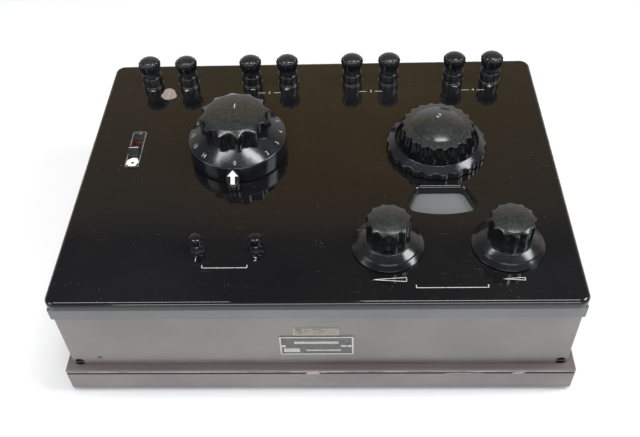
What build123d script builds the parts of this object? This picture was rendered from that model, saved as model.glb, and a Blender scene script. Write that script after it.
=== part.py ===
"""Bench potentiometer for a galvanometer: a moulded panel on a wooden case, with its switches inside.

Millimetres, X to the right, Y to the back, Z up. The origin is on the bench, under the middle of the case.
"""
from build123d import *
import os
from math import atan2, cos, degrees, radians, sin

# Case and panel
PANEL_W = 350.0
PANEL_D = 256.0
PANEL_T = 7.0
PANEL_CORNER_R = 8.0
PANEL_EDGE_R = 3.0
PANEL_LOWER_EDGE_R = 1.0
RIM_H = 10.0
RIM_BACK = 1.0          # the rim lies this far behind the panel's edge
RIM_CHAMFER = 0.8
CASE_H = 55.5
CASE_BACK = 2.5         # the case lies this far behind the panel's edge
WALL = 10.0
BASE_H = 22.5
BASE_PROUD = 5.8        # the base board stands this far proud of the case
BASE_BEAD_R = 1.6
BASE_QUIRK_D = 1.0
BASE_QUIRK_H = 1.2
BASE_QUIRK_DOWN = 2.6   # from the board's top to the quirk
BASE_EDGE_R = 1.5
FOOT_H = 2.0
FOOT_R = 6.0
FOOT_INSET = 11.0
BLOCK_SIDE = 18.0       # corner block in plan
BLOCK_CUT = 10.0        # its inner corner is cut off
SCREW_R = 1.75
SCREW_HEAD_R = 3.4
SCREW_HEAD_H = 2.0
SCREW_L = 26.0
BASE_SCREW_L = 38.0     # reaches through the base board into a corner block
SLOT_W = 0.9
SLOT_D = 0.8
CASE_SCREW_Z = 3.6      # height of the case screws over the base board
PANEL_SCREW_BITE = 4.5

# Plates on the front
PLATE_W = 50.0
PLATE_H = 20.5
PLATE_T = 0.9
PLATE_BORDER = 1.1
PLATE_SUNK = 0.35
PLATE_MID_BELOW_PANEL = 49.0
PIN_IN = 2.7            # from the plate's ends to its pins
PIN_R = 0.9
PIN_HEAD_R = 1.4
PIN_HEAD_H = 0.5
PIN_L = 6.0
STRIP_W = 30.0
STRIP_H = 7.5
STRIP_T = 0.4
STRIP_GAP = 1.6         # between the strip and the plate

# Terminals
TERMINAL_IN = 26.0      # from the panel's back edge
TERMINAL_PITCH = 30.0
TERMINAL_SIDE = 35.95   # from the panel's ends to the last terminals
STUD_R = 2.5
STUD_UP = 21.0
STUD_DOWN = 13.0
SEAT_R = 8.4
SEAT_H = 1.2
COLLAR_R = 8.1
COLLAR_H = 11.2
COLLAR_CHAMFER = 0.5
NUT_AF = 8.0
NUT_H = 4.0
CAP_GAP = 0.9           # room for the clamp ring between collar and cap
CAP_WAIST_R = 6.6
CAP_R = 9.0
CAP_FLARE_H = 4.0       # from the waist to the start of the fluted band
CAP_BAND_H = 7.6
CAP_DOME_H = 3.6
CAP_DOME_MID_R = 7.0    # the dome bends at this radius
CAP_DOME_MID_H = 2.25
CAP_CROWN_R = 3.3
CAP_FLUTES = 20
CAP_FLUTE_D = 0.8
CAP_BORE_R = 2.55
CAP_BORE_OVER = 1.0     # bore left over the stud's end

# Shafts and bushings
SHAFT_R = 4.0
SMALL_SHAFT_R = 3.0
RUNNING = 0.03          # radial clearance of a shaft in its bush
SEAT_CLEAR = 0.05       # radial clearance of a fixed part in its hole
BUSH_WALL = 1.6
BUSH_UP = 4.5
BUSH_FLANGE_H = 2.0
BUSH_FLANGE_R = 8.5
BUSH_NUT_H = 3.0
BUSH_NUT_AF = 15.0
PANEL_GAP = 0.6         # running gap between the knobs and the panel
KNOB_HOLLOW_R = 11.2    # hollow in a dial for the nut of its bush
RHEO_HOLLOW_R = 9.0
HOLLOW_OVER = 1.5       # room over a bush

# Rows of the layout: a fixed step and a share of the panel's depth
DIAL_GAP = 19.5         # from the terminals to the dials
DIAL_SHARE = 0.25
RHEO_GAP = 28.5         # from the panel's middle to the rheostats
RHEO_SHARE = 0.2

# Voltage dial
V_SPARE_SHARE = 5 / 12  # share of the spare width that lies left of the dial's deck
V_R = 36.5
V_RIM_H = 14.2          # height of the dial's cylindrical edge over the panel
V_CONE_TOP_R = 23.0
V_CONE_TOP_H = 21.0
V_POSITIONS = 16
V_KNOB_R = 26.3
V_KNOB_FOOT_R = 24.4
V_KNOB_EDGE_H = 33.8
V_KNOB_CROWN_H = 37.0
V_KNOB_CROWN_R = 19.5
V_KNOB_APEX_H = 38.2
V_LOBES = 12
V_FLUTE_D = 3.4
V_LAND = 2.2
V_FLUTE_AT = 25.0       # angle of one flute
POST_R = 4.8
POST_GAP = 1.0
POST_FRONT_H = 6.7
POST_BACK_H = 15.4
POST_SPIGOT_R = 2.5

# Millivolt dial
MV_IN = 86.5            # from the panel's right end
RING_R = 37.0
RING_EDGE_H = 5.4
RING_TOP_R = 31.2
RING_TOP_H = 9.6
RING_FLOOR_H = 6.4
RING_PLATE_T = 2.2
RING_LOBES = 22
RING_SCALLOP_D = 1.4
RING_LAND = 3.0
RING_FLUTE_AT = 3.8
MV_KNOB_R = 26.6
MV_KNOB_FOOT_R = 28.2
MV_KNOB_EDGE_H = 21.0
MV_KNOB_CROWN_H = 22.6
MV_KNOB_CROWN_R = 19.5
MV_KNOB_APEX_H = 27.0
MV_LOBES = 20
MV_FLUTE_D = 1.9
MV_LAND = 2.0
MV_FLUTE_AT = 16.0

# Scale window
WINDOW_HALF_ANGLE = 21.0
WINDOW_R = 68.0         # front edge, from the shaft
WINDOW_BACK = 42.5      # straight back edge, from the shaft
WINDOW_CORNER_R = 5.0
WINDOW_EDGE_R = 2.4
LIP_W = 3.0
LIP_H = 1.5
SCALE_DISC_R = 66.0
SCALE_DISC_T = 1.0
SCALE_DEPTH = 10.0      # the scale lies this far under the panel's top
DISC_HUB_R = 11.0
DISC_HUB_H = 6.0

# Rheostats and their knobs
RHEO_PITCH = 80.0
SKIRT_R = 24.3
SKIRT_EDGE_H = 1.8
SKIRT_STEP_R = 19.4
SKIRT_STEP_H = 6.4
SKIRT_STEP_RISE = 0.5
RHEO_KNOB_R = 15.1
RHEO_KNOB_FOOT_R = 14.3
RHEO_KNOB_FOOT_H = 7.6
RHEO_KNOB_EDGE_H = 24.4
RHEO_KNOB_CROWN_R = 11.0
RHEO_KNOB_CROWN_H = 26.4
RHEO_KNOB_APEX_H = 28.0
RHEO_LOBES = 12
RHEO_FLUTE_D = 1.5
RHEO_LAND = 1.4
COARSE_FLUTE_AT = 28.0
FINE_FLUTE_AT = 15.0
RHEO_BODY_R = 21.0
RHEO_BODY_H = 17.0
RHEO_BODY_T = 3.0
WINDING_R = 17.0
WINDING_W = 4.0
WINDING_H = 8.0
WINDING_GAP_ANGLE = 36.0
WIPER_T = 1.6
WIPER_W = 5.0
WIPER_HUB_R = 6.5
WIPER_HUB_H = 4.0
STOP_W = 4.0
STOP_GAP = 2.0          # between a rheostat's stop and the wiper's hub

# Sensitivity keys
KEY_PITCH = 40.0
KEY_FORWARD = 0.8       # the keys lie this far in front of the rheostats
KEY_FLANGE_R = 6.0
KEY_FLANGE_H = 2.4
KEY_NECK_R = 4.7
KEY_NECK_H = 5.6
KEY_BARREL_R = 4.6
KEY_BARREL_DOWN = 14.0
KEY_PLUNGER_R = 3.3
KEY_HEAD_R = 4.1
KEY_HEAD_H = 3.1
KEY_TRAVEL = 2.5
KEY_ROD_R = 1.5
KEY_ROD_DOWN = 19.0
KEY_BLOCK_W = 14.0
KEY_BLOCK_D = 12.0
LEAF_W = 6.0
LEAF_T = 0.5
LEAF_FOOT_DOWN = 25.0   # the leaf's clamped end, under the panel's top
LEAF_CLAMPED = 3.0      # length of leaf held in the block
ANVIL_W = 5.0
ANVIL_T = 2.0
ANVIL_DOWN = 27.5       # top of the anvil arms, under the panel's top
KEY_CONTACT_R = 1.4
KEY_CONTACT_DOWN = 22.5
KEY_NUT_AF = 12.0
KEY_NUT_H = 2.5
TOUCH = 0.3             # gap left between parts that touch only in use

# Slide switch
SWITCH_IN = 35.5        # from the panel's left end
SWITCH_BACK = 1.5       # from the dials' line
SWITCH_W = 12.0
SWITCH_L = 41.0
SWITCH_PLATE_T = 0.8
SWITCH_CORNER_R = 2.2
SWITCH_SLOT_W = 6.4
SWITCH_SLOT_L = 20.0
SWITCH_TRAVEL = 9.0
SLIDER_W = 7.4
SLIDER_L = 9.0
SLIDER_H = 4.6
SLIDER_TOP_L = 6.0
SWITCH_BODY_W = 16.0
SWITCH_BODY_L = 42.0
SWITCH_BODY_H = 12.0
SWITCH_SCREW_R = 1.2
SWITCH_SCREW_HEAD_R = 2.1
SWITCH_SCREW_HEAD_H = 0.6
SWITCH_SCREW_SLOT_D = 0.35
SWITCH_SCREW_SLOT_W = 0.5
SWITCH_SCREW_END = 2.0  # from the plate's back edge to the screw

# Decks under the panel
DECK_T = 4.0
V_DECK_R = 44.0
V_DECK_DOWN = 28.0      # top of the deck, under the panel's top
V_STUD_RING_R = 30.0
CONTACT_L = 8.0
CONTACT_W = 5.0
CONTACT_PROUD = 2.0
CONTACT_TAIL = 3.0
CARD_W = 9.0
CARD_T = 2.4
CARD_H = 15.0
BRUSH_W = 3.0
BRUSH_T = 1.6
BRUSH_HUB_R = 7.0
BRUSH_HUB_H = 5.0
DETENT_R = 16.0
DETENT_NOTCH = 1.6
DETENT_T = 4.0
DETENT_DOWN = 17.0      # underside of the detent wheel, under the panel's top
DETENT_NOSE = 2.0       # the nose stands this far off its leaf, and is twice as wide
DETENT_LEAF_T = 0.8
DETENT_BLOCK_Y = 22.0   # the leaf's block, beside the nose
DETENT_BLOCK_W = 5.0
DETENT_BLOCK_L = 8.0
PILLAR_AF = 6.0
V_PILLAR_RING_R = 39.5
PEG_R = 2.0
V_PEG_RING_R = 22.0
MV_DECK_R = 57.0
MV_DECK_DOWN = 34.0
MV_PILLARS = 4
MV_PILLAR_OUT = 4.5     # from the scale disc's edge to a pillar
MV_ARM_W = 13.0
FORMER_R = 52.0
FORMER_W = 4.0
FORMER_H = 7.0
SLIDEWIRE_T = 1.0
SLIDEWIRE_GAP_ANGLE = 24.0
MV_ARM_T = 2.0
MV_WIPER_W = 8.0
MV_WIPER_HUB_H = 8.0
MV_PEG_RING_R = 24.0
SHAFT_FOOT = 2.0        # a shaft's length below its deck
SHAFT_END = 6.0         # solid knob left over the end of a shaft
PEG_OVER = 1.0          # a stop peg's height over the arm it stops
CROWN_MID_R = 0.55      # a knob's dome bends here, as a share of the crown's radius
CROWN_MID_H = 0.75      # and here, as a share of the dome's height

# Worked out from the values above
BASE_TOP = FOOT_H + BASE_H
CASE_TOP = BASE_TOP + CASE_H
UNDER = CASE_TOP + RIM_H
TOP = UNDER + PANEL_T
CASE_X = PANEL_W / 2 - CASE_BACK
CASE_Y = PANEL_D / 2 - CASE_BACK
BUSH_R = SHAFT_R + BUSH_WALL
SMALL_BUSH_R = SMALL_SHAFT_R + BUSH_WALL
SWITCH_X = SWITCH_IN - PANEL_W / 2
MV_X = PANEL_W / 2 - MV_IN
SPARE_W = MV_X - SCALE_DISC_R - 2 * V_DECK_R - SWITCH_BODY_W / 2 - SWITCH_X
V_X = SWITCH_X + SWITCH_BODY_W / 2 + V_DECK_R + V_SPARE_SHARE * SPARE_W
TERMINAL_Y = PANEL_D / 2 - TERMINAL_IN
DIAL_Y = TERMINAL_Y - DIAL_GAP - DIAL_SHARE * PANEL_D
RHEO_Y = -RHEO_GAP - RHEO_SHARE * PANEL_D
KEY_Y = RHEO_Y - KEY_FORWARD
SWITCH_Y = DIAL_Y + SWITCH_BACK
PIN_SPAN = PLATE_W - 2 * PIN_IN
PAIR_PITCH = (PANEL_W - TERMINAL_PITCH - 2 * TERMINAL_SIDE) / 3
MV_PILLAR_RING_R = SCALE_DISC_R + MV_PILLAR_OUT
MV_PILLARS_FROM = 180.0 / MV_PILLARS
COARSE_X = MV_X - RHEO_PITCH / 2
FINE_X = MV_X + RHEO_PITCH / 2
TERMINALS = [
    pair * PAIR_PITCH + side * TERMINAL_PITCH / 2
    for pair in (-1.5, -0.5, 0.5, 1.5)
    for side in (-1, 1)
]


def solid_of(shape):
    """The one solid of a shape."""
    return shape.solids()[0]


def disc(radius, low, high, x=0.0, y=0.0):
    """Upright cylinder between two heights."""
    cylinder = Cylinder(radius, high - low, align=(Align.CENTER, Align.CENTER, Align.MIN))
    return Pos(x, y, low) * cylinder


def block(x, y, low, high, width, depth):
    """Upright box about a point, between two heights."""
    box = Box(width, depth, high - low, align=(Align.CENTER, Align.CENTER, Align.MIN))
    return Pos(x, y, low) * box


def turned(points):
    """Solid turned about Z from its half outline, given as radius and height."""
    outline = Polyline(*[(r, 0, z) for r, z in points], close=True)
    return revolve(make_face(outline), Axis.Z)


def hexagon(across_flats, low, high, x=0.0, y=0.0):
    """Upright hexagonal bar."""
    bar = extrude(RegularPolygon(across_flats / 2, 6, major_radius=False), high - low)
    return Pos(x, y, low) * bar


def around(count, radius=0.0, start=0.0):
    """Places evenly spaced on a circle about Z, each turned to face outwards."""
    step = 360.0 / count
    return [Rot(0, 0, start + step * k) * Pos(radius, 0, 0) for k in range(count)]


def flutes(count, rim_r, foot_r, low, high, depth, land, start):
    """Round-bottomed cutters that lie along a tapered knob's side."""
    half = rim_r * sin(radians(180.0 / count)) - land / 2
    cutter_r = (half**2 + depth**2) / (2 * depth)
    lean = degrees(atan2(rim_r - foot_r, high - low))
    length = 4 * (high - low)
    cutter = Cylinder(cutter_r, length)
    middle = (rim_r + foot_r) / 2 - depth + cutter_r
    leaning = Pos(middle, 0, (low + high) / 2) * Rot(0, lean, 0) * cutter
    return [place * leaning for place in around(count, start=start)]


def wood_screw(length):
    """Slotted countersunk screw, its head's face at Z 0 and its point down."""
    body = turned(
        [
            (0, 0),
            (SCREW_HEAD_R, 0),
            (SCREW_R, -SCREW_HEAD_H),
            (SCREW_R, -length + 3 * SCREW_R),
            (0, -length),
        ]
    )
    return solid_of(body - block(0, 0, -SLOT_D, SLOT_D, 3 * SCREW_HEAD_R, SLOT_W))


def group(shapes):
    """Several solids that share one node."""
    return Compound([solid for shape in shapes for solid in shape.solids()])


# Case

def case_screw_places():
    """Screws that hold the front and back boards to the side boards."""
    x = CASE_X - WALL / 2
    places = []
    for side in (-1, 1):
        places.append(Pos(side * x, -CASE_Y, BASE_TOP + CASE_SCREW_Z) * Rot(90, 0, 0))
        places.append(Pos(side * x, CASE_Y, BASE_TOP + CASE_SCREW_Z) * Rot(-90, 0, 0))
    return places


def block_places():
    """Middles of the corner blocks in plan."""
    x = CASE_X - WALL - BLOCK_SIDE / 2
    y = CASE_Y - WALL - BLOCK_SIDE / 2
    return [(sx * x, sy * y) for sx in (-1, 1) for sy in (-1, 1)]


def screw_holes(places, length):
    """Holes that a set of screws fills."""
    hole = turned(
        [
            (0, 0.5),
            (SCREW_HEAD_R + SEAT_CLEAR, 0.5),
            (SCREW_HEAD_R + SEAT_CLEAR, 0),
            (SCREW_R + SEAT_CLEAR, -SCREW_HEAD_H - SEAT_CLEAR),
            (SCREW_R + SEAT_CLEAR, -length - SEAT_CLEAR),
            (0, -length - SEAT_CLEAR),
        ]
    )
    return [place * hole for place in places]


def front_board():
    board = block(0, -CASE_Y + WALL / 2, BASE_TOP, CASE_TOP, 2 * CASE_X, WALL)
    board -= screw_holes(case_screw_places(), SCREW_L)
    reach = PIN_L - PIN_HEAD_H - PLATE_T + PLATE_SUNK
    z = TOP - PLATE_MID_BELOW_PANEL
    for side in (-1, 1):
        drill = Cylinder(PIN_R + SEAT_CLEAR, 2 * (reach + SEAT_CLEAR))
        board -= Pos(side * PIN_SPAN / 2, -CASE_Y, z) * Rot(90, 0, 0) * drill
    return board


def back_board():
    board = block(0, CASE_Y - WALL / 2, BASE_TOP, CASE_TOP, 2 * CASE_X, WALL)
    return board - screw_holes(case_screw_places(), SCREW_L)


def side_boards():
    depth = 2 * (CASE_Y - WALL)
    boards = []
    for side in (-1, 1):
        board = block(side * (CASE_X - WALL / 2), 0, BASE_TOP, CASE_TOP, WALL, depth)
        boards.append(board - screw_holes(case_screw_places(), SCREW_L))
    return group(boards)


def rim_strips():
    """Four mitred strips between the case and the panel."""
    half_w = PANEL_W / 2 - RIM_BACK
    half_d = PANEL_D / 2 - RIM_BACK
    width = WALL + CASE_BACK - RIM_BACK
    frame = block(0, 0, CASE_TOP, UNDER, 2 * half_w, 2 * half_d)
    frame = chamfer(frame.edges().filter_by(Axis.Z), RIM_CHAMFER)
    frame -= block(0, 0, CASE_TOP, UNDER, 2 * (CASE_X - WALL), 2 * (CASE_Y - WALL))
    strips = []
    for turn in range(4):
        along, across = (half_w, half_d) if turn % 2 == 0 else (half_d, half_w)
        plan = Polygon(
            (-along, -across),
            (along, -across),
            (along - width, width - across),
            (width - along, width - across),
            align=None,
        )
        cutter = Pos(0, 0, CASE_TOP) * extrude(plan, RIM_H)
        strips.append(frame & (Rot(0, 0, 90 * turn) * cutter))
    return group(strips)


def base_board():
    """Board under the case, with a bead and a quirk round its upper edge."""
    half_w = CASE_X + BASE_PROUD
    half_d = CASE_Y + BASE_PROUD
    board = block(0, 0, FOOT_H, BASE_TOP, 2 * half_w, 2 * half_d)
    board = fillet(board.faces().sort_by(Axis.Z)[-1].edges(), BASE_BEAD_R)
    board = fillet(board.faces().sort_by(Axis.Z)[0].edges(), BASE_EDGE_R)
    quirk_top = BASE_TOP - BASE_QUIRK_DOWN
    quirk = block(0, 0, quirk_top - BASE_QUIRK_H, quirk_top, 2 * half_w + 2, 2 * half_d + 2)
    quirk -= block(
        0,
        0,
        quirk_top - BASE_QUIRK_H,
        quirk_top,
        2 * (half_w - BASE_QUIRK_D),
        2 * (half_d - BASE_QUIRK_D),
    )
    board -= quirk
    return board - screw_holes(base_screw_places(), BASE_SCREW_L)


def base_screw_places():
    """Screws up through the base board into the corner blocks."""
    return [Pos(x, y, FOOT_H) * Rot(180, 0, 0) for x, y in block_places()]


def corner_blocks():
    blocks = []
    for x, y in block_places():
        piece = block(x, y, BASE_TOP, UNDER, BLOCK_SIDE, BLOCK_SIDE)
        upright = piece.edges().filter_by(Axis.Z)
        inner = min(upright, key=lambda edge: abs(edge.center().X) + abs(edge.center().Y))
        piece = chamfer(inner, BLOCK_CUT)
        piece -= screw_holes(base_screw_places(), BASE_SCREW_L)
        piece -= panel_screw_holes()
        blocks.append(piece)
    return group(blocks)


def panel_screw_z():
    """Height of the panel screws' heads, low in the corner blocks."""
    return UNDER + PANEL_SCREW_BITE - SCREW_L


def panel_screw_spots():
    """Middles of the panel screws in plan, beside the base screws and clear of the blocks' cut corners."""
    off = BLOCK_SIDE / 4
    return [(x - off if x > 0 else x + off, y + off if y > 0 else y - off) for x, y in block_places()]


def panel_screw_holes():
    """Holes up through the blocks, wide below the screws' heads."""
    holes = []
    for x, y in panel_screw_spots():
        hole = disc(SCREW_R + SEAT_CLEAR, panel_screw_z(), UNDER, x, y)
        holes.append(hole + disc(SCREW_HEAD_R + SEAT_CLEAR, BASE_TOP, panel_screw_z(), x, y))
    return holes


def panel_screw():
    """Round-headed screw that stands head down."""
    shank = disc(SCREW_R, 0, SCREW_L)
    head = disc(SCREW_HEAD_R, -SCREW_HEAD_H, 0)
    return shank + head


def feet():
    x = CASE_X + BASE_PROUD - FOOT_INSET
    y = CASE_Y + BASE_PROUD - FOOT_INSET
    pads = []
    for sx in (-1, 1):
        for sy in (-1, 1):
            pad = disc(FOOT_R, 0, FOOT_H, sx * x, sy * y)
            pads.append(chamfer(pad.edges().group_by(Axis.Z)[0], FOOT_H / 2))
    return group(pads)


def plates():
    """Bordered plate, and the thin strip over it."""
    z = TOP - PLATE_MID_BELOW_PANEL
    y = -CASE_Y - PLATE_T / 2
    plate = Pos(0, y, z) * Box(PLATE_W, PLATE_T, PLATE_H)
    plate = chamfer(plate.edges().filter_by(Axis.Y), PLATE_BORDER / 2)
    inner = Box(PLATE_W - 2 * PLATE_BORDER, 2 * PLATE_SUNK, PLATE_H - 2 * PLATE_BORDER)
    plate -= Pos(0, -CASE_Y - PLATE_T, z) * inner
    for side in (-1, 1):
        drill = Cylinder(PIN_R + SEAT_CLEAR, 4 * PLATE_T)
        plate -= Pos(side * PIN_SPAN / 2, y, z) * Rot(90, 0, 0) * drill
    strip_z = z + PLATE_H / 2 + STRIP_GAP + STRIP_H / 2
    strip = Pos(0, -CASE_Y - STRIP_T / 2, strip_z) * Box(STRIP_W, STRIP_T, STRIP_H)
    return group([plate, strip])


def plate_pins():
    z = TOP - PLATE_MID_BELOW_PANEL
    face = -CASE_Y - PLATE_T + PLATE_SUNK
    pins = []
    for side in (-1, 1):
        pin = disc(PIN_R, -PIN_L + PIN_HEAD_H, 0) + disc(PIN_HEAD_R, 0, PIN_HEAD_H)
        pins.append(Pos(side * PIN_SPAN / 2, face, z) * Rot(90, 0, 0) * pin)
    return group(pins)


# Panel

def window_face():
    """Opening over the scale: radial sides, a round front and a straight back."""
    reach = 2 * WINDOW_R
    a = radians(WINDOW_HALF_ANGLE)
    wedge = Polygon(
        (0, 0), (-reach * sin(a), -reach * cos(a)), (reach * sin(a), -reach * cos(a)), align=None
    )
    front = Pos(0, -WINDOW_BACK - WINDOW_R) * Rectangle(2 * WINDOW_R, 2 * WINDOW_R)
    outline = (wedge & Circle(WINDOW_R)) & front
    return fillet(outline.vertices(), WINDOW_CORNER_R)


def window_edges(panel):
    """The opening's edges in the panel's top face."""
    top = panel.faces().filter_by(Axis.Z).sort_by(Axis.Z)[-1]
    near = Pos(MV_X, DIAL_Y - WINDOW_BACK / 2 - WINDOW_R / 2, TOP).position
    wires = top.inner_wires()
    wire = min(wires, key=lambda w: (w.center(CenterOf.BOUNDING_BOX) - near).length)
    return wire.edges()


def panel():
    plate = extrude(RectangleRounded(PANEL_W, PANEL_D, PANEL_CORNER_R), PANEL_T)
    plate = fillet(plate.faces().sort_by(Axis.Z)[-1].edges(), PANEL_EDGE_R)
    plate = fillet(plate.faces().sort_by(Axis.Z)[0].edges(), PANEL_LOWER_EDGE_R)
    plate = Pos(0, 0, UNDER) * plate
    window = Pos(MV_X, DIAL_Y, 0) * window_face()
    lip = Pos(0, 0, UNDER - LIP_H) * extrude(offset(window, LIP_W), LIP_H)
    plate += lip
    plate -= Pos(0, 0, UNDER - LIP_H) * extrude(window, PANEL_T + LIP_H)
    plate = fillet(window_edges(plate), WINDOW_EDGE_R)
    holes = [(x, TERMINAL_Y, STUD_R) for x in TERMINALS]
    holes += [(V_X, DIAL_Y, BUSH_R), (MV_X, DIAL_Y, BUSH_R)]
    holes += [(COARSE_X, RHEO_Y, SMALL_BUSH_R), (FINE_X, RHEO_Y, SMALL_BUSH_R)]
    holes += [(V_X + side * KEY_PITCH / 2, KEY_Y, KEY_BARREL_R) for side in (-1, 1)]
    holes += [(V_X, post_y(), POST_SPIGOT_R)]
    for x, y, radius in holes:
        plate -= disc(radius + SEAT_CLEAR, UNDER, TOP, x, y)
    slot_w = SWITCH_SLOT_W
    slot_l = SWITCH_SLOT_L
    plate -= block(SWITCH_X, SWITCH_Y, UNDER, TOP, slot_w, slot_l)
    plate -= disc(SWITCH_SCREW_R + SEAT_CLEAR, UNDER, TOP, SWITCH_X, switch_screw_y())
    for x, y in panel_screw_spots():
        plate -= disc(SCREW_R + SEAT_CLEAR, UNDER, UNDER + PANEL_SCREW_BITE + SEAT_CLEAR, x, y)
    return plate


# Terminals

def terminal_studs():
    """Threaded stud with its round seat on the panel."""
    low = TOP - STUD_DOWN
    stud = disc(STUD_R, low, TOP + STUD_UP) + disc(SEAT_R, TOP, TOP + SEAT_H)
    return group([Pos(x, TERMINAL_Y, 0) * stud for x in TERMINALS])


def terminal_collars():
    low = TOP + SEAT_H
    collar = disc(COLLAR_R, low, low + COLLAR_H)
    collar = chamfer(collar.edges().group_by(Axis.Z)[-1], COLLAR_CHAMFER)
    collar -= disc(STUD_R + SEAT_CLEAR, low, low + COLLAR_H)
    return group([Pos(x, TERMINAL_Y, 0) * collar for x in TERMINALS])


def terminal_nuts():
    nut = hexagon(NUT_AF, UNDER - NUT_H, UNDER)
    nut -= disc(STUD_R + SEAT_CLEAR, UNDER - NUT_H, UNDER)
    return group([Pos(x, TERMINAL_Y, 0) * nut for x in TERMINALS])


def star(tip_r, root_r, count, z=0.0):
    """Ring of points with sharp tips and roots in turn."""
    points = []
    for k in range(2 * count):
        radius = tip_r if k % 2 == 0 else root_r
        angle = radians(180.0 * k / count)
        points.append((radius * cos(angle), radius * sin(angle), z))
    return points


def faceted(rings):
    """Solid of flat sides between rings of points, from the lowest ring to the highest."""
    faces = [Face(Wire.make_polygon(ring)) for ring in (rings[0], rings[-1])]
    for lower, upper in zip(rings, rings[1:]):
        for k in range(len(lower)):
            side = [lower[k - 1], lower[k], upper[k], upper[k - 1]]
            faces.append(Face(Wire.make_polygon(side)))
    return Solid(Shell(faces))


def terminal_cap(x):
    """Fluted cap that flares from its waist and closes in a low dome."""
    waist = TOP + SEAT_H + COLLAR_H + CAP_GAP
    band = waist + CAP_FLARE_H
    shoulder = band + CAP_BAND_H
    sections = [
        (waist, CAP_WAIST_R),
        (band, CAP_R),
        (shoulder, CAP_R),
        (shoulder + CAP_DOME_MID_H, CAP_DOME_MID_R),
        (shoulder + CAP_DOME_H, CAP_CROWN_R),
    ]
    root_share = 1 - CAP_FLUTE_D / CAP_R
    cap = faceted([star(r, r * root_share, CAP_FLUTES, z) for z, r in sections])
    cap -= disc(CAP_BORE_R, waist, TOP + STUD_UP + CAP_BORE_OVER)
    return Pos(x, TERMINAL_Y, 0) * cap


# Shafts and bushings

def dial_places():
    """Each turning control: place in plan, shaft radius and bush radius."""
    return [
        (V_X, DIAL_Y, SHAFT_R, BUSH_R),
        (MV_X, DIAL_Y, SHAFT_R, BUSH_R),
        (COARSE_X, RHEO_Y, SMALL_SHAFT_R, SMALL_BUSH_R),
        (FINE_X, RHEO_Y, SMALL_SHAFT_R, SMALL_BUSH_R),
    ]


def shaft_bushings():
    bushes = []
    for x, y, shaft_r, bush_r in dial_places():
        scale = bush_r / BUSH_R
        flange_r = BUSH_FLANGE_R * scale
        foot = UNDER - BUSH_FLANGE_H
        bush = disc(bush_r, foot, TOP + BUSH_UP * scale, x, y) + disc(flange_r, foot, UNDER, x, y)
        bush -= disc(shaft_r + RUNNING, foot, TOP + BUSH_UP, x, y)
        bushes.append(bush)
    return group(bushes)


def bushing_nuts():
    nuts = []
    for x, y, _, bush_r in dial_places():
        scale = bush_r / BUSH_R
        nut = hexagon(BUSH_NUT_AF * scale, TOP, TOP + BUSH_NUT_H * scale, x, y)
        nuts.append(nut - disc(bush_r + SEAT_CLEAR, TOP, TOP + BUSH_NUT_H, x, y))
    for x in key_places():
        nut = hexagon(KEY_NUT_AF, UNDER - KEY_NUT_H, UNDER, x, KEY_Y)
        nuts.append(nut - disc(KEY_BARREL_R + SEAT_CLEAR, UNDER - KEY_NUT_H, UNDER, x, KEY_Y))
    return group(nuts)


def shaft(radius, low, high, x, y):
    """Plain spindle with a chamfered foot."""
    spindle = disc(radius, low, high, x, y)
    return chamfer(spindle.edges().group_by(Axis.Z)[0], radius / 5)


# Voltage dial and its switch

def post_y():
    """Middle of the index post, just in front of the dial."""
    return DIAL_Y - V_R - POST_GAP - POST_R


def v_dial():
    """Numbered skirt: upright edge, cone, and a hollow for the bush's nut."""
    low = TOP + PANEL_GAP
    hollow_r = KNOB_HOLLOW_R
    ceiling = TOP + BUSH_UP + HOLLOW_OVER
    points = [
        (SHAFT_R, ceiling),
        (hollow_r, ceiling),
        (hollow_r, low),
        (V_R, low),
        (V_R, TOP + V_RIM_H),
        (V_CONE_TOP_R, TOP + V_CONE_TOP_H),
        (SHAFT_R, TOP + V_CONE_TOP_H),
    ]
    return Pos(V_X, DIAL_Y, 0) * turned(points)


def lobed_knob(rim_r, foot_r, low, edge, crown_r, crown, apex, bore_r, bore_top):
    """Tapered knob body before its flutes are cut, with a low dome on top."""
    points = [
        (bore_r, low),
        (foot_r, low),
        (rim_r, edge),
        (crown_r, crown),
        (crown_r * CROWN_MID_R, crown + (apex - crown) * CROWN_MID_H),
        (0, apex),
        (0, bore_top),
        (bore_r, bore_top),
    ]
    return turned(points)


def v_knob():
    low = TOP + V_CONE_TOP_H
    edge = TOP + V_KNOB_EDGE_H
    bore_top = TOP + V_KNOB_APEX_H - SHAFT_END
    knob = lobed_knob(
        V_KNOB_R,
        V_KNOB_FOOT_R,
        low,
        edge,
        V_KNOB_CROWN_R,
        TOP + V_KNOB_CROWN_H,
        TOP + V_KNOB_APEX_H,
        SHAFT_R,
        bore_top,
    )
    cutters = flutes(
        V_LOBES, V_KNOB_R, V_KNOB_FOOT_R, low, edge, V_FLUTE_D, V_LAND, V_FLUTE_AT
    )
    return Pos(V_X, DIAL_Y, 0) * (knob - cutters)


def v_shaft():
    low = TOP - V_DECK_DOWN - DECK_T - SHAFT_FOOT
    return shaft(SHAFT_R, low, TOP + V_KNOB_APEX_H - SHAFT_END, V_X, DIAL_Y)


def index_post():
    """Round post whose sloped top carries the index arrow."""
    post = disc(POST_R, TOP, TOP + POST_BACK_H) + disc(POST_SPIGOT_R, UNDER, TOP)
    slope = degrees(atan2(POST_BACK_H - POST_FRONT_H, 2 * POST_R))
    saw = Box(4 * POST_R, 8 * POST_R, 2 * POST_BACK_H, align=(Align.CENTER, Align.CENTER, Align.MIN))
    middle = TOP + (POST_BACK_H + POST_FRONT_H) / 2
    post -= Pos(0, 0, middle) * Rot(slope, 0, 0) * saw
    return Pos(V_X, post_y(), 0) * post


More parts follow.
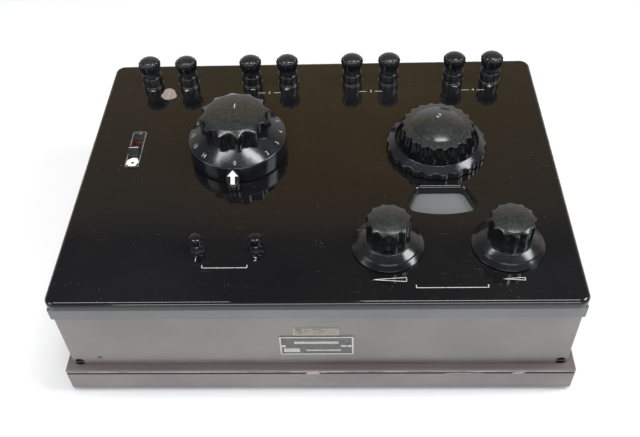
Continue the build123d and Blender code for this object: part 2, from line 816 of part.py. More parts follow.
def v_deck():
    """Round insulating plate that carries the contacts."""
    top = TOP - V_DECK_DOWN
    deck = disc(V_DECK_R, top - DECK_T, top)
    deck -= disc(SHAFT_R + RUNNING, top - DECK_T, top)
    for place in around(V_POSITIONS, V_STUD_RING_R, v_contact_start()):
        deck -= place * block(0, 0, top - DECK_T, top, CONTACT_L / 2, CONTACT_W / 2)
    peg_top = top + CONTACT_PROUD + TOUCH + BRUSH_T + PEG_OVER
    deck += disc(PEG_R, top, peg_top, V_PEG_RING_R, 0)
    return Pos(V_X, DIAL_Y, 0) * deck


def v_contact_start():
    """Angle of the first contact: half a step past the stop peg."""
    return 180.0 / V_POSITIONS


def v_contacts():
    """Brass contact bars, each with a tail through the deck."""
    top = TOP - V_DECK_DOWN
    bar = block(0, 0, top, top + CONTACT_PROUD, CONTACT_L, CONTACT_W)
    bar += block(0, 0, top - DECK_T - CONTACT_TAIL, top, CONTACT_L / 2, CONTACT_W / 2)
    places = around(V_POSITIONS, V_STUD_RING_R, v_contact_start())
    return group([Pos(V_X, DIAL_Y, 0) * place * bar for place in places])


def v_coils():
    """Resistance cards that hang under the deck, one between each two contacts."""
    top = TOP - V_DECK_DOWN - DECK_T
    card = block(0, 0, top - CARD_H, top, CARD_W, CARD_T)
    start = v_contact_start() + 180.0 / V_POSITIONS
    places = around(V_POSITIONS, V_STUD_RING_R, start)[:-1]
    return group([Pos(V_X, DIAL_Y, 0) * place * card for place in places])


def v_brush_arm():
    """Arm on the shaft that wipes the contact bars."""
    low = TOP - V_DECK_DOWN + CONTACT_PROUD + TOUCH
    reach = V_STUD_RING_R + CONTACT_L / 2
    arm = disc(BRUSH_HUB_R, low, low + BRUSH_HUB_H)
    arm += block(reach / 2, 0, low, low + BRUSH_T, reach, BRUSH_W)
    arm -= disc(SHAFT_R, low, low + BRUSH_HUB_H)
    return Pos(V_X, DIAL_Y, 0) * Rot(0, 0, -v_contact_start()) * arm


def v_detent_wheel():
    """Notched wheel of the detent, a notch opposite the spring's nose at each step."""
    low = TOP - DETENT_DOWN
    heights = (low, low + DETENT_T)
    wheel = faceted([star(DETENT_R, DETENT_R - DETENT_NOTCH, V_POSITIONS, z) for z in heights])
    wheel -= disc(SHAFT_R, low, low + DETENT_T)
    return Pos(V_X, DIAL_Y, 0) * Rot(0, 0, v_contact_start()) * wheel


def v_detent_spring():
    """Leaf spring on a block under the panel, its nose at the wheel's teeth."""
    low = TOP - DETENT_DOWN
    nose = DETENT_R + TOUCH
    leaf_x = nose + DETENT_NOSE
    leaf_l = DETENT_BLOCK_Y + DETENT_BLOCK_L
    leaf_y = (DETENT_BLOCK_Y - DETENT_BLOCK_L / 2) / 2
    spring = block(leaf_x, leaf_y, low, low + DETENT_T, DETENT_LEAF_T, leaf_l)
    wedge = Polygon((nose, 0), (leaf_x, -DETENT_NOSE), (leaf_x, DETENT_NOSE), align=None)
    spring += Pos(0, 0, low) * extrude(wedge, DETENT_T)
    spring += block(leaf_x, DETENT_BLOCK_Y, low, UNDER, DETENT_BLOCK_W, DETENT_BLOCK_L)
    return Pos(V_X, DIAL_Y, 0) * Rot(0, 0, 180) * spring


def deck_pillars():
    """Hexagonal pillars that hang the two decks from the panel."""
    bars = []
    for place in around(3, V_PILLAR_RING_R, 180.0 / V_POSITIONS):
        bars.append(Pos(V_X, DIAL_Y, 0) * place * hexagon(PILLAR_AF, TOP - V_DECK_DOWN, UNDER))
    for place in around(MV_PILLARS, MV_PILLAR_RING_R, MV_PILLARS_FROM):
        bars.append(Pos(MV_X, DIAL_Y, 0) * place * hexagon(PILLAR_AF, TOP - MV_DECK_DOWN, UNDER))
    return group(bars)


# Millivolt dial and its slidewire

def mv_ring():
    """Scalloped ring with a bevelled top and a groove round the knob."""
    low = TOP + PANEL_GAP
    floor = TOP + RING_FLOOR_H
    hollow_r = KNOB_HOLLOW_R
    points = [
        (hollow_r, floor - RING_PLATE_T),
        (RING_TOP_R, floor - RING_PLATE_T),
        (RING_TOP_R, low),
        (RING_R, low),
        (RING_R, TOP + RING_EDGE_H),
        (RING_TOP_R, TOP + RING_TOP_H),
        (RING_TOP_R - 1.0, floor),
        (hollow_r, floor),
    ]
    ring = turned(points)
    ring -= flutes(
        RING_LOBES,
        RING_R,
        RING_R,
        low,
        TOP + RING_TOP_H,
        RING_SCALLOP_D,
        RING_LAND,
        RING_FLUTE_AT,
    )
    return Pos(MV_X, DIAL_Y, 0) * ring


def mv_knob():
    low = TOP + RING_FLOOR_H
    edge = TOP + MV_KNOB_EDGE_H
    knob = lobed_knob(
        MV_KNOB_R,
        MV_KNOB_FOOT_R,
        low,
        edge,
        MV_KNOB_CROWN_R,
        TOP + MV_KNOB_CROWN_H,
        TOP + MV_KNOB_APEX_H,
        SHAFT_R,
        TOP + MV_KNOB_APEX_H - SHAFT_END,
    )
    cutters = flutes(
        MV_LOBES, MV_KNOB_R, MV_KNOB_FOOT_R, low, edge, MV_FLUTE_D, MV_LAND, MV_FLUTE_AT
    )
    return Pos(MV_X, DIAL_Y, 0) * (knob - cutters)


def mv_shaft():
    low = TOP - MV_DECK_DOWN - DECK_T - SHAFT_FOOT
    return shaft(SHAFT_R, low, TOP + MV_KNOB_APEX_H - SHAFT_END, MV_X, DIAL_Y)


def scale_disc():
    """Flat disc that carries the scale under the window."""
    top = TOP - SCALE_DEPTH
    plate = disc(SCALE_DISC_R, top - SCALE_DISC_T, top)
    plate += disc(DISC_HUB_R, top - SCALE_DISC_T - DISC_HUB_H, top)
    plate -= disc(SHAFT_R, top - SCALE_DISC_T - DISC_HUB_H, top)
    return Pos(MV_X, DIAL_Y, 0) * plate


def mv_deck():
    """Insulating plate with an arm under each pillar."""
    top = TOP - MV_DECK_DOWN
    plan = Circle(MV_DECK_R)
    reach = MV_PILLAR_RING_R + PILLAR_AF
    for place in around(MV_PILLARS, 0, MV_PILLARS_FROM):
        plan += place * Pos(reach / 2, 0) * RectangleRounded(reach, MV_ARM_W, MV_ARM_W / 3)
    plan -= Circle(SHAFT_R + RUNNING)
    deck = Pos(0, 0, top - DECK_T) * extrude(plan, DECK_T)
    peg_top = top + FORMER_H + SLIDEWIRE_T + TOUCH + MV_ARM_T + PEG_OVER
    deck += Rot(0, 0, 90) * disc(PEG_R, top, peg_top, MV_PEG_RING_R, 0)
    return Pos(MV_X, DIAL_Y, 0) * deck


def ring_sector(outer, inner, low, high, gap, gap_at):
    """Ring between two radii with a gap of some degrees in it."""
    ring = disc(outer, low, high) - disc(inner, low, high)
    reach = 2 * outer
    a = radians(gap / 2)
    wedge = Polygon(
        (0, 0), (reach * cos(a), -reach * sin(a)), (reach * cos(a), reach * sin(a)), align=None
    )
    cutter = Pos(0, 0, low) * extrude(wedge, high - low)
    return ring - Rot(0, 0, gap_at) * cutter


def slidewire_former():
    low = TOP - MV_DECK_DOWN
    ring = disc(FORMER_R, low, low + FORMER_H)
    return Pos(MV_X, DIAL_Y, 0) * (ring - disc(FORMER_R - FORMER_W, low, low + FORMER_H))


def slidewire():
    """Resistance ring on the former, open behind the stop peg."""
    low = TOP - MV_DECK_DOWN + FORMER_H
    middle = FORMER_R - FORMER_W / 2
    wire = ring_sector(
        middle + SLIDEWIRE_T / 2,
        middle - SLIDEWIRE_T / 2,
        low,
        low + SLIDEWIRE_T,
        SLIDEWIRE_GAP_ANGLE,
        90.0,
    )
    return Pos(MV_X, DIAL_Y, 0) * wire


def mv_wiper():
    """Arm on the shaft that wipes the slidewire."""
    low = TOP - MV_DECK_DOWN + FORMER_H + SLIDEWIRE_T + TOUCH
    arm = disc(DISC_HUB_R, low, low + MV_WIPER_HUB_H)
    arm += block(0, -FORMER_R / 2, low, low + MV_ARM_T, MV_WIPER_W, FORMER_R)
    arm -= disc(SHAFT_R, low, low + MV_WIPER_HUB_H)
    return Pos(MV_X, DIAL_Y, 0) * arm


# Rheostats

def rheostat_knob(x, flute_at):
    """Fluted knob in one piece with its stepped skirt."""
    low = TOP + PANEL_GAP
    foot = TOP + RHEO_KNOB_FOOT_H
    edge = TOP + RHEO_KNOB_EDGE_H
    bore_top = TOP + RHEO_KNOB_APEX_H - SHAFT_END
    hollow_r = RHEO_HOLLOW_R
    ceiling = TOP + BUSH_UP
    skirt = turned(
        [
            (SMALL_SHAFT_R, ceiling),
            (hollow_r, ceiling),
            (hollow_r, low),
            (SKIRT_R, low),
            (SKIRT_R, TOP + SKIRT_EDGE_H),
            (SKIRT_STEP_R, TOP + SKIRT_STEP_H),
            (SKIRT_STEP_R, TOP + SKIRT_STEP_H + SKIRT_STEP_RISE),
            (SMALL_SHAFT_R, foot),
        ]
    )
    knob = lobed_knob(
        RHEO_KNOB_R,
        RHEO_KNOB_FOOT_R,
        ceiling,
        edge,
        RHEO_KNOB_CROWN_R,
        TOP + RHEO_KNOB_CROWN_H,
        TOP + RHEO_KNOB_APEX_H,
        SMALL_SHAFT_R,
        bore_top,
    )
    knob -= flutes(
        RHEO_LOBES,
        RHEO_KNOB_R,
        RHEO_KNOB_FOOT_R,
        foot,
        edge,
        RHEO_FLUTE_D,
        RHEO_LAND,
        flute_at,
    )
    return Pos(x, RHEO_Y, 0) * (skirt + knob)


def rheostat_bodies():
    """Open cups under the panel, each with a stop across the winding's gap."""
    low = UNDER - BUSH_FLANGE_H - RHEO_BODY_H
    high = UNDER - BUSH_FLANGE_H
    cup = disc(RHEO_BODY_R, low, high)
    cup -= disc(RHEO_BODY_R - RHEO_BODY_T, low, high - RHEO_BODY_T)
    stop_in = WIPER_HUB_R + STOP_GAP
    stop_out = RHEO_BODY_R - RHEO_BODY_T / 2
    middle = (stop_in + stop_out) / 2
    cup += block(0, middle, low, high - RHEO_BODY_T, STOP_W, stop_out - stop_in)
    cup -= disc(SMALL_SHAFT_R + RUNNING, low, high)
    return group([Pos(x, RHEO_Y, 0) * cup for x in (COARSE_X, FINE_X)])


def winding_low():
    """Lower face of the windings, where the wiper runs."""
    return UNDER - BUSH_FLANGE_H - RHEO_BODY_T - WINDING_H


def rheostat_windings():
    low = winding_low()
    coil = ring_sector(
        WINDING_R, WINDING_R - WINDING_W, low, low + WINDING_H, WINDING_GAP_ANGLE, 90.0
    )
    return group([Pos(x, RHEO_Y, 0) * coil for x in (COARSE_X, FINE_X)])


def rheostat_wiper(x):
    """Spindle with its wiper arm."""
    high = winding_low() - TOUCH
    arm = disc(WIPER_HUB_R, high - WIPER_HUB_H, high)
    arm += block(0, -WINDING_R / 2, high - WIPER_T, high, WIPER_W, WINDING_R)
    arm += disc(SMALL_SHAFT_R, high - WIPER_HUB_H, TOP + RHEO_KNOB_APEX_H - SHAFT_END)
    return Pos(x, RHEO_Y, 0) * arm


# Sensitivity keys

def key_places():
    return [V_X - KEY_PITCH / 2, V_X + KEY_PITCH / 2]


def key_bushings():
    """Flanged guide of each key."""
    neck = TOP + KEY_NECK_H
    low = TOP - KEY_BARREL_DOWN
    points = [
        (KEY_PLUNGER_R + RUNNING, low),
        (KEY_BARREL_R, low),
        (KEY_BARREL_R, TOP),
        (KEY_FLANGE_R, TOP),
        (KEY_FLANGE_R, TOP + KEY_FLANGE_H / 2),
        (KEY_NECK_R, TOP + KEY_FLANGE_H),
        (KEY_NECK_R, neck),
        (KEY_PLUNGER_R + RUNNING, neck),
    ]
    return group([Pos(x, KEY_Y, 0) * turned(points) for x in key_places()])


def key_button(x):
    """Round button on a plunger, with a thin rod that works the leaf."""
    head_low = TOP + KEY_NECK_H + KEY_TRAVEL + TOUCH
    head_top = head_low + KEY_HEAD_H
    low = TOP - KEY_BARREL_DOWN + KEY_TRAVEL + TOUCH
    rod_low = TOP - KEY_ROD_DOWN
    points = [
        (0, rod_low),
        (KEY_ROD_R, rod_low),
        (KEY_ROD_R, low),
        (KEY_PLUNGER_R, low),
        (KEY_PLUNGER_R, head_low),
        (KEY_HEAD_R, head_low),
        (KEY_HEAD_R, head_top - KEY_HEAD_H / 3),
        (KEY_HEAD_R * 0.7, head_top),
        (0, head_top),
    ]
    return Pos(x, KEY_Y, 0) * turned(points)


def key_block():
    """Insulating block between the keys, with a lower arm under each leaf."""
    anvil = TOP - ANVIL_DOWN
    low = anvil - ANVIL_T
    body = block(V_X, KEY_Y, low, UNDER, KEY_BLOCK_W, KEY_BLOCK_D)
    body += block(V_X, KEY_Y, low, anvil, KEY_PITCH + ANVIL_W, LEAF_W)
    foot = TOP - LEAF_FOOT_DOWN
    for side in (-1, 1):
        middle = V_X + side * (KEY_BLOCK_W - LEAF_CLAMPED) / 2
        slot_l = LEAF_CLAMPED + SEAT_CLEAR
        slot_w = LEAF_W + 2 * SEAT_CLEAR
        slot_low = foot - LEAF_T - SEAT_CLEAR
        body -= block(middle, KEY_Y, slot_low, foot + SEAT_CLEAR, slot_l, slot_w)
    for x in key_places():
        body -= disc(KEY_CONTACT_R + SEAT_CLEAR, low, anvil, x, KEY_Y)
    return body


def key_contacts():
    """Contact rivet in each arm, just under the pressed leaf."""
    low = TOP - ANVIL_DOWN - ANVIL_T
    high = TOP - KEY_CONTACT_DOWN
    return group([disc(KEY_CONTACT_R, low, high, x, KEY_Y) for x in key_places()])


def key_leaf(side):
    """Bent leaf from the block up to the rod of a key."""
    foot = TOP - LEAF_FOOT_DOWN
    tip = TOP - KEY_ROD_DOWN - TOUCH
    start = KEY_BLOCK_W / 2 - LEAF_CLAMPED
    bend = KEY_BLOCK_W / 2 + LEAF_CLAMPED
    landing = KEY_PITCH / 2 - ANVIL_W / 2
    end = KEY_PITCH / 2 + ANVIL_W / 2
    outline = Polygon(
        (start, foot - LEAF_T),
        (bend, foot - LEAF_T),
        (landing, tip - LEAF_T),
        (end, tip - LEAF_T),
        (end, tip),
        (landing, tip),
        (bend, foot),
        (start, foot),
        align=None,
    )
    leaf = extrude(Plane.XZ * outline, LEAF_W / 2, both=True)
    turn = 0 if side > 0 else 180
    return Pos(V_X, KEY_Y, 0) * Rot(0, 0, turn) * leaf


# Slide switch

def switch_screw_y():
    return SWITCH_Y + SWITCH_L / 2 - SWITCH_SCREW_END


def switch_plate():
    plate = extrude(RectangleRounded(SWITCH_W, SWITCH_L, SWITCH_CORNER_R), SWITCH_PLATE_T)
    plate = Pos(SWITCH_X, SWITCH_Y, TOP) * plate
    plate -= block(SWITCH_X, SWITCH_Y, TOP, TOP + SWITCH_PLATE_T, SWITCH_SLOT_W, SWITCH_SLOT_L)
    hole_r = SWITCH_SCREW_R + SEAT_CLEAR
    return plate - disc(hole_r, TOP, TOP + SWITCH_PLATE_T, SWITCH_X, switch_screw_y())


def slider_y():
    """The slider rests at the front end of its slot."""
    stem_l = SWITCH_SLOT_L - SWITCH_TRAVEL - 2 * TOUCH
    return SWITCH_Y - SWITCH_SLOT_L / 2 + TOUCH + stem_l / 2


def switch_slider():
    """Thumb block on a stem that runs in the slot."""
    low = TOP + SWITCH_PLATE_T + TOUCH
    stem_l = SWITCH_SLOT_L - SWITCH_TRAVEL - 2 * TOUCH
    stem_w = SWITCH_SLOT_W - 2 * TOUCH
    head = extrude(
        Plane.YZ
        * Polygon(
            (-SLIDER_L / 2, low),
            (SLIDER_L / 2, low),
            (SLIDER_TOP_L / 2, low + SLIDER_H),
            (-SLIDER_TOP_L / 2, low + SLIDER_H),
            align=None,
        ),
        SLIDER_W / 2,
        both=True,
    )
    stem_low = UNDER - SWITCH_BODY_H / 2
    stem = block(0, 0, stem_low, low, stem_w, stem_l)
    return Pos(SWITCH_X, slider_y(), 0) * (head + stem)


def switch_body():
    """Housing under the panel with a channel for the stem."""
    low = UNDER - SWITCH_BODY_H
    channel_low = UNDER - SWITCH_BODY_H / 2 - TOUCH
    body = block(SWITCH_X, SWITCH_Y, low, UNDER, SWITCH_BODY_W, SWITCH_BODY_L)
    body -= block(SWITCH_X, SWITCH_Y, channel_low, UNDER, SWITCH_SLOT_W, SWITCH_SLOT_L)
    body -= disc(SWITCH_SCREW_R + SEAT_CLEAR, low, UNDER, SWITCH_X, switch_screw_y())
    return body


def switch_screw():
    high = TOP + SWITCH_PLATE_T
    low = UNDER - SWITCH_BODY_H
    head = high + SWITCH_SCREW_HEAD_H
    screw = disc(SWITCH_SCREW_R, low, high) + disc(SWITCH_SCREW_HEAD_R, high, head)
    slot_low = head - SWITCH_SCREW_SLOT_D
    screw -= block(0, 0, slot_low, head, 3 * SWITCH_SCREW_HEAD_R, SWITCH_SCREW_SLOT_W)
    return Pos(SWITCH_X, switch_screw_y(), 0) * screw


def case_screws():
    screws = [place * wood_screw(SCREW_L) for place in case_screw_places()]
    screws += [place * wood_screw(BASE_SCREW_L) for place in base_screw_places()]
    screws += [Pos(x, y, panel_screw_z()) * panel_screw() for x, y in panel_screw_spots()]
    return group(screws)


def nodes():
    """Every node by its name."""
    low_x, high_x = key_places()
    made = {
        "panel": panel(),
        "front_board": front_board(),
        "back_board": back_board(),
        "side_boards": side_boards(),
        "rim_strips": rim_strips(),
        "base_board": base_board(),
        "corner_blocks": corner_blocks(),
        "case_screws": case_screws(),
        "feet": feet(),
        "name_plates": plates(),
        "plate_pins": plate_pins(),
        "terminal_studs": terminal_studs(),
        "terminal_collars": terminal_collars(),
        "terminal_nuts": terminal_nuts(),
        "shaft_bushings": shaft_bushings(),
        "bushing_nuts": bushing_nuts(),
        "index_post": index_post(),
        "v_knob": v_knob(),
        "v_dial": v_dial(),
        "v_shaft": v_shaft(),
        "v_brush_arm": v_brush_arm(),
        "v_detent_wheel": v_detent_wheel(),
        "v_detent_spring": v_detent_spring(),
        "v_deck": v_deck(),
        "v_contacts": v_contacts(),
        "v_coils": v_coils(),
        "deck_pillars": deck_pillars(),
        "mv_knob": mv_knob(),
        "mv_ring": mv_ring(),
        "mv_shaft": mv_shaft(),
        "scale_disc": scale_disc(),
        "mv_wiper": mv_wiper(),
        "mv_deck": mv_deck(),
        "slidewire_former": slidewire_former(),
        "slidewire": slidewire(),
        "coarse_knob": rheostat_knob(COARSE_X, COARSE_FLUTE_AT),
        "coarse_wiper": rheostat_wiper(COARSE_X),
        "fine_knob": rheostat_knob(FINE_X, FINE_FLUTE_AT),
        "fine_wiper": rheostat_wiper(FINE_X),
        "rheostat_bodies": rheostat_bodies(),
        "rheostat_windings": rheostat_windings(),
        "key_bushings": key_bushings(),
        "low_button": key_button(low_x),
        "high_button": key_button(high_x),
        "key_block": key_block(),
        "key_contacts": key_contacts(),
        "low_leaf": key_leaf(-1),
        "high_leaf": key_leaf(1),
        "switch_plate": switch_plate(),
        "switch_slider": switch_slider(),
        "switch_body": switch_body(),
        "switch_screw": switch_screw(),
    }
    for number, x in enumerate(TERMINALS, start=1):
        made[f"terminal_cap_{number}"] = terminal_cap(x)
    return made


def main():
    os.makedirs("parts", exist_ok=True)
    for name, shape in nodes().items():
        export_step(shape, f"parts/{name}.step")


if __name__ == "__main__":
    main()
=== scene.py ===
"""Looks of a bench potentiometer: a polished black panel on a painted wooden case.

Lengths are in millimetres until a mesh is made. Heights of the controls count from the panel's top.
"""

import random
from math import asin, atan2, cos, degrees, hypot, pi, radians, sin, sqrt

import bpy
from mathutils import Matrix, Vector
from mathutils.geometry import tessellate_polygon


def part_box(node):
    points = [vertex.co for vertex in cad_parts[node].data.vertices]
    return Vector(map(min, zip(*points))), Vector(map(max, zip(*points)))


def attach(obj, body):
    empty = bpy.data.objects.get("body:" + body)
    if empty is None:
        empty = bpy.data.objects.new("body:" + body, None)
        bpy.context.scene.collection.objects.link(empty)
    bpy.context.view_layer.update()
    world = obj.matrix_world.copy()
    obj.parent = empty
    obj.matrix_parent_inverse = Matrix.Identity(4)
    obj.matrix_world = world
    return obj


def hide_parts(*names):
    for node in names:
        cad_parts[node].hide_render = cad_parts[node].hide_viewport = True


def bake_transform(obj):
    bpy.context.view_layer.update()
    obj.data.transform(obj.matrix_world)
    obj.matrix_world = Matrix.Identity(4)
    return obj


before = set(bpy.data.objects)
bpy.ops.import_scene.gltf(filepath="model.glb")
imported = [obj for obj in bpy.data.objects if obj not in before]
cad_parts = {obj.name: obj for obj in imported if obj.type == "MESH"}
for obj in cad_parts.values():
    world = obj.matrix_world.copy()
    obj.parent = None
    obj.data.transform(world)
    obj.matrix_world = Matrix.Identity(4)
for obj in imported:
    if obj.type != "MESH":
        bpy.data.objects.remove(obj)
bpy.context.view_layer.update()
MM = 0.001


def low_mm(node):
    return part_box(node)[0] / MM


def high_mm(node):
    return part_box(node)[1] / MM


def middle_mm(node):
    return (low_mm(node) + high_mm(node)) / 2


TOP = high_mm("panel").z
UNDER = high_mm("rim_strips").z
LIP_LOW = low_mm("panel").z
PANEL_X = high_mm("panel").x
PANEL_Y = high_mm("panel").y
CASE_X = high_mm("front_board").x
FRONT = low_mm("front_board").y
BASE_TOP = high_mm("base_board").z
BASE_LOW = low_mm("base_board").z
BASE_X = high_mm("base_board").x
BASE_Y = high_mm("base_board").y
V_X, V_Y = middle_mm("v_dial").xy
MV_X, MV_Y = middle_mm("mv_ring").xy
CAPS = [f"terminal_cap_{number}" for number in range(1, 9)]

# Panel
PANEL_CORNER_R = 8.0
PANEL_EDGE_R = 3.0
PANEL_LOWER_EDGE_R = 1.0
WINDOW_HALF_ANGLE = 21.0
WINDOW_R = 68.0
WINDOW_BACK = 42.5
WINDOW_CORNER_R = 5.0
WINDOW_EDGE_R = 2.4
LIP_W = 3.0

# Terminals
STUD_R = 2.5
BORE_R = STUD_R + 0.1
SEAT_R = 8.4
SEAT_H = 1.2
COLLAR_R = 8.1
COLLAR_TOP = 8.8        # lower than the solid's, as the photo shows it
SEAM_R = 7.5
CAP_LOW = COLLAR_TOP + 0.9
CAP_BORE_H = 8.6
CAP_FLUTES = 18
CAP_FLUTE_D = 1.35

# Knobs
FOOT_GAP = 0.6          # a dial turns this far over the panel
DIAL_RIM_R = 36.5
DIAL_RIM_H = 14.2       # the number ring slopes up from here
DIAL_CONE_R = 23.0
DIAL_CONE_H = 21.0
DIAL_KNOB_H = 38.2
MV_RING_R = 37.0
MV_KNOB_H = 27.0
FLUTE_EASE = 0.08       # softness of the edge between a flute and a land

# Switch
SWITCH_HALF_W = 6.0
SWITCH_CORNER_R = 2.2
SLOT_HALF_W = 3.2
SLOT_HALF_L = 10.0
SWITCH_H = 0.8

# Plates
PLATE_H = 20.5
PLATE_BORDER = 1.1
STRIP_GAP = 1.6
STRIP_HALF_W = 14.6
STRIP_BORDER = 0.4

# Marks
MARK_LIFT = 0.06        # a mark's height over its surface
LABEL_H = 3.6
LINE_W = 0.5
WEDGE_LINE_W = 0.45
NUMERAL_H = 3.5
DIAL_SET = 2.2          # degrees by which the number ring is off the arrow
DIAL_NUMERAL_R = 32.6


# Meshes

def piece(name, shape, material, body, replaces=(), sharp=34.0):
    """Object from points and faces that rides on a body."""
    points, faces = shape
    mesh = bpy.data.meshes.new(name)
    mesh.from_pydata([Vector(p) * MM for p in points], [], faces)
    mesh.validate()
    mesh.shade_smooth()
    mesh.set_sharp_from_angle(angle=radians(sharp))
    mesh.materials.append(material)
    made = bpy.data.objects.new(name, mesh)
    bpy.context.scene.collection.objects.link(made)
    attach(made, body)
    if replaces:
        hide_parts(*replaces)
    return made


def moved(shape, x=0.0, y=0.0, z=0.0):
    points, faces = shape
    return [(px + x, py + y, pz + z) for px, py, pz in points], faces


def placed(shape, matrix):
    points, faces = shape
    return [tuple(matrix @ Vector(p)) for p in points], faces


def joined(shapes):
    """Several shapes as one."""
    points, faces = [], []
    for more_points, more_faces in shapes:
        start = len(points)
        points += more_points
        faces += [tuple(start + k for k in face) for face in more_faces]
    return points, faces


def skin(rings, ends=True):
    """Faces over a stack of rings; the ends are closed, or the last ring meets the first."""
    count = len(rings[0])
    points = [p for ring in rings for p in ring]
    faces = []
    last = len(rings) if not ends else len(rings) - 1
    for row in range(last):
        lower = row * count
        upper = (row + 1) % len(rings) * count
        for k in range(count):
            n = (k + 1) % count
            faces.append((lower + k, lower + n, upper + n, upper + k))
    if ends:
        faces.append(tuple(range(count))[::-1])
        faces.append(tuple(range(last * count, (last + 1) * count)))
    return points, faces


def softened(points, radius, steps=4):
    """A line of points with its inner corners rounded."""
    line = [points[0]]
    for before, corner, after in zip(points, points[1:], points[2:]):
        a = Vector(before) - Vector(corner)
        b = Vector(after) - Vector(corner)
        reach = min(radius, 0.45 * a.length, 0.45 * b.length)
        start = Vector(corner) + a.normalized() * reach
        end = Vector(corner) + b.normalized() * reach
        for k in range(steps + 1):
            t = k / steps
            way = start * (1 - t) ** 2 + Vector(corner) * 2 * t * (1 - t) + end * t * t
            line.append(tuple(way))
    return line + [points[-1]]


def circle(r, z, segments):
    return [(r * cos(2 * pi * k / segments), r * sin(2 * pi * k / segments), z) for k in range(segments)]


def turned(profile, segments=72, ends=True):
    """Solid turned from radius and height, from its foot outwards and up."""
    return skin([circle(max(r, 0.01), z, segments) for r, z in profile], ends)


def rounded(half_w, half_d, radius, steps=6):
    """Rectangle with round corners, counter-clockwise."""
    radius = max(radius, 0.05)
    outline = []
    for corner, (sx, sy) in enumerate([(1, 1), (-1, 1), (-1, -1), (1, -1)]):
        for k in range(steps + 1):
            a = radians(90 * corner + 90 * k / steps)
            x = sx * (half_w - radius) + radius * cos(a)
            y = sy * (half_d - radius) + radius * sin(a)
            outline.append((x, y))
    return outline


def moulding(half_w, half_d, radius, profile):
    """Rectangular board whose edge follows a profile of inset and height, foot first."""
    rings = []
    for inset, z in profile:
        outline = rounded(half_w - inset, half_d - inset, radius - inset)
        rings.append([(x, y, z) for x, y in outline])
    return skin(rings)


def shifted(outline, distance):
    """Closed outline moved outwards, for one that runs counter-clockwise."""
    result = []
    count = len(outline)
    for k in range(count):
        before, point, after = (Vector(outline[(k + d) % count]) for d in (-1, 0, 1))
        a = (point - before).normalized()
        b = (after - point).normalized()
        normal = Vector((a.y + b.y, -a.x - b.x))
        normal.normalize()
        stretch = max(0.3, normal.dot(Vector((a.y, -a.x))))
        result.append(tuple(point + normal * distance / stretch))
    return result


def quarter(radius, low, high_side, steps=7):
    """Offsets and heights over a quarter round at the top of a wall."""
    rows = []
    for k in range(steps + 1):
        a = radians(90 * k / steps)
        rows.append((radius * (1 - cos(a)), high_side - radius + radius * sin(a)))
    return [(0.0, low)] + rows


# Materials

class Shader:
    """Small help for building a node material."""

    def __init__(self, name):
        self.material = bpy.data.materials.new(name)
        self.material.use_nodes = True
        self.tree = self.material.node_tree
        self.surface = self.tree.nodes["Principled BSDF"]
        self.place = self.node("ShaderNodeTexCoord").outputs["Object"]

    def node(self, kind, inputs=None, **settings):
        made = self.tree.nodes.new(kind)
        for key, value in settings.items():
            setattr(made, key, value)
        for key, value in (inputs or {}).items():
            self.put(made.inputs[key], value)
        return made

    def put(self, socket, value):
        if isinstance(value, bpy.types.NodeSocket):
            self.tree.links.new(value, socket)
        else:
            socket.default_value = value

    def scaled(self, x, y, z, turn=(0.0, 0.0, 0.0)):
        turn = tuple(radians(a) for a in turn)
        inputs = {"Vector": self.place, "Scale": (x, y, z), "Rotation": turn}
        return self.node("ShaderNodeMapping", inputs).outputs["Vector"]

    def noise(self, scale, detail=3.0, rough=0.5, where=None, bend=0.0):
        inputs = {
            "Vector": where or self.place,
            "Scale": scale,
            "Detail": detail,
            "Roughness": rough,
            "Distortion": bend,
        }
        return self.node("ShaderNodeTexNoise", inputs).outputs["Fac"]

    def cells(self, scale):
        inputs = {"Vector": self.place, "Scale": scale}
        return self.node("ShaderNodeTexVoronoi", inputs).outputs["Distance"]

    def span(self, value, low, high, to_low=0.0, to_high=1.0):
        inputs = {0: value, 1: low, 2: high, 3: to_low, 4: to_high}
        return self.node("ShaderNodeMapRange", inputs, interpolation_type="SMOOTHSTEP").outputs[0]

    def maths(self, operation, a, b=0.0):
        return self.node("ShaderNodeMath", {0: a, 1: b}, operation=operation).outputs[0]

    def mix(self, factor, a, b):
        made = self.node("ShaderNodeMix", data_type="RGBA")
        for socket, value in ((made.inputs[0], factor), (made.inputs[6], a), (made.inputs[7], b)):
            if not isinstance(value, (bpy.types.NodeSocket, float, int)):
                value = (*value, 1.0)
            self.put(socket, value)
        return made.outputs[2]

    def axis(self, letter, where=None):
        return self.node("ShaderNodeSeparateXYZ", {0: where or self.place}).outputs[letter]

    def bump(self, height, strength, distance):
        inputs = {"Height": height, "Strength": strength, "Distance": distance}
        made = self.node("ShaderNodeBump", inputs)
        self.put(self.surface.inputs["Normal"], made.outputs["Normal"])

    def finish(self, **values):
        for key, value in values.items():
            name = key.replace("_", " ")
            if isinstance(value, tuple) and len(value) == 3:
                value = (*value, 1.0)
            self.put(self.surface.inputs[name], value)
        return self.material


def scratches(shader, amount, turns=(18.0, -37.0, 74.0), scale=60.0):
    """Fine straight scratches in a few directions, as a mask."""
    mask = None
    for turn in turns:
        lines = shader.noise(scale, 1.0, 0.4, shader.scaled(1.1, 20.0, 1.0, (0, 0, turn)))
        patches = shader.noise(23.0 + turn / 10, 2.0, 0.5)
        thin = shader.span(lines, 0.73, 0.77)
        here = shader.maths("MULTIPLY", thin, shader.span(patches, 0.5, 0.62))
        mask = here if mask is None else shader.maths("MAXIMUM", mask, here)
    return shader.maths("MULTIPLY", mask, amount)


def dust(shader, scale, size):
    """Sparse bright specks, as a mask."""
    near = shader.cells(scale)
    speck = shader.span(near, size, size * 0.4)
    sparse = shader.span(shader.noise(scale * 0.33, 1.0), 0.56, 0.66)
    return shader.maths("MULTIPLY", speck, sparse)


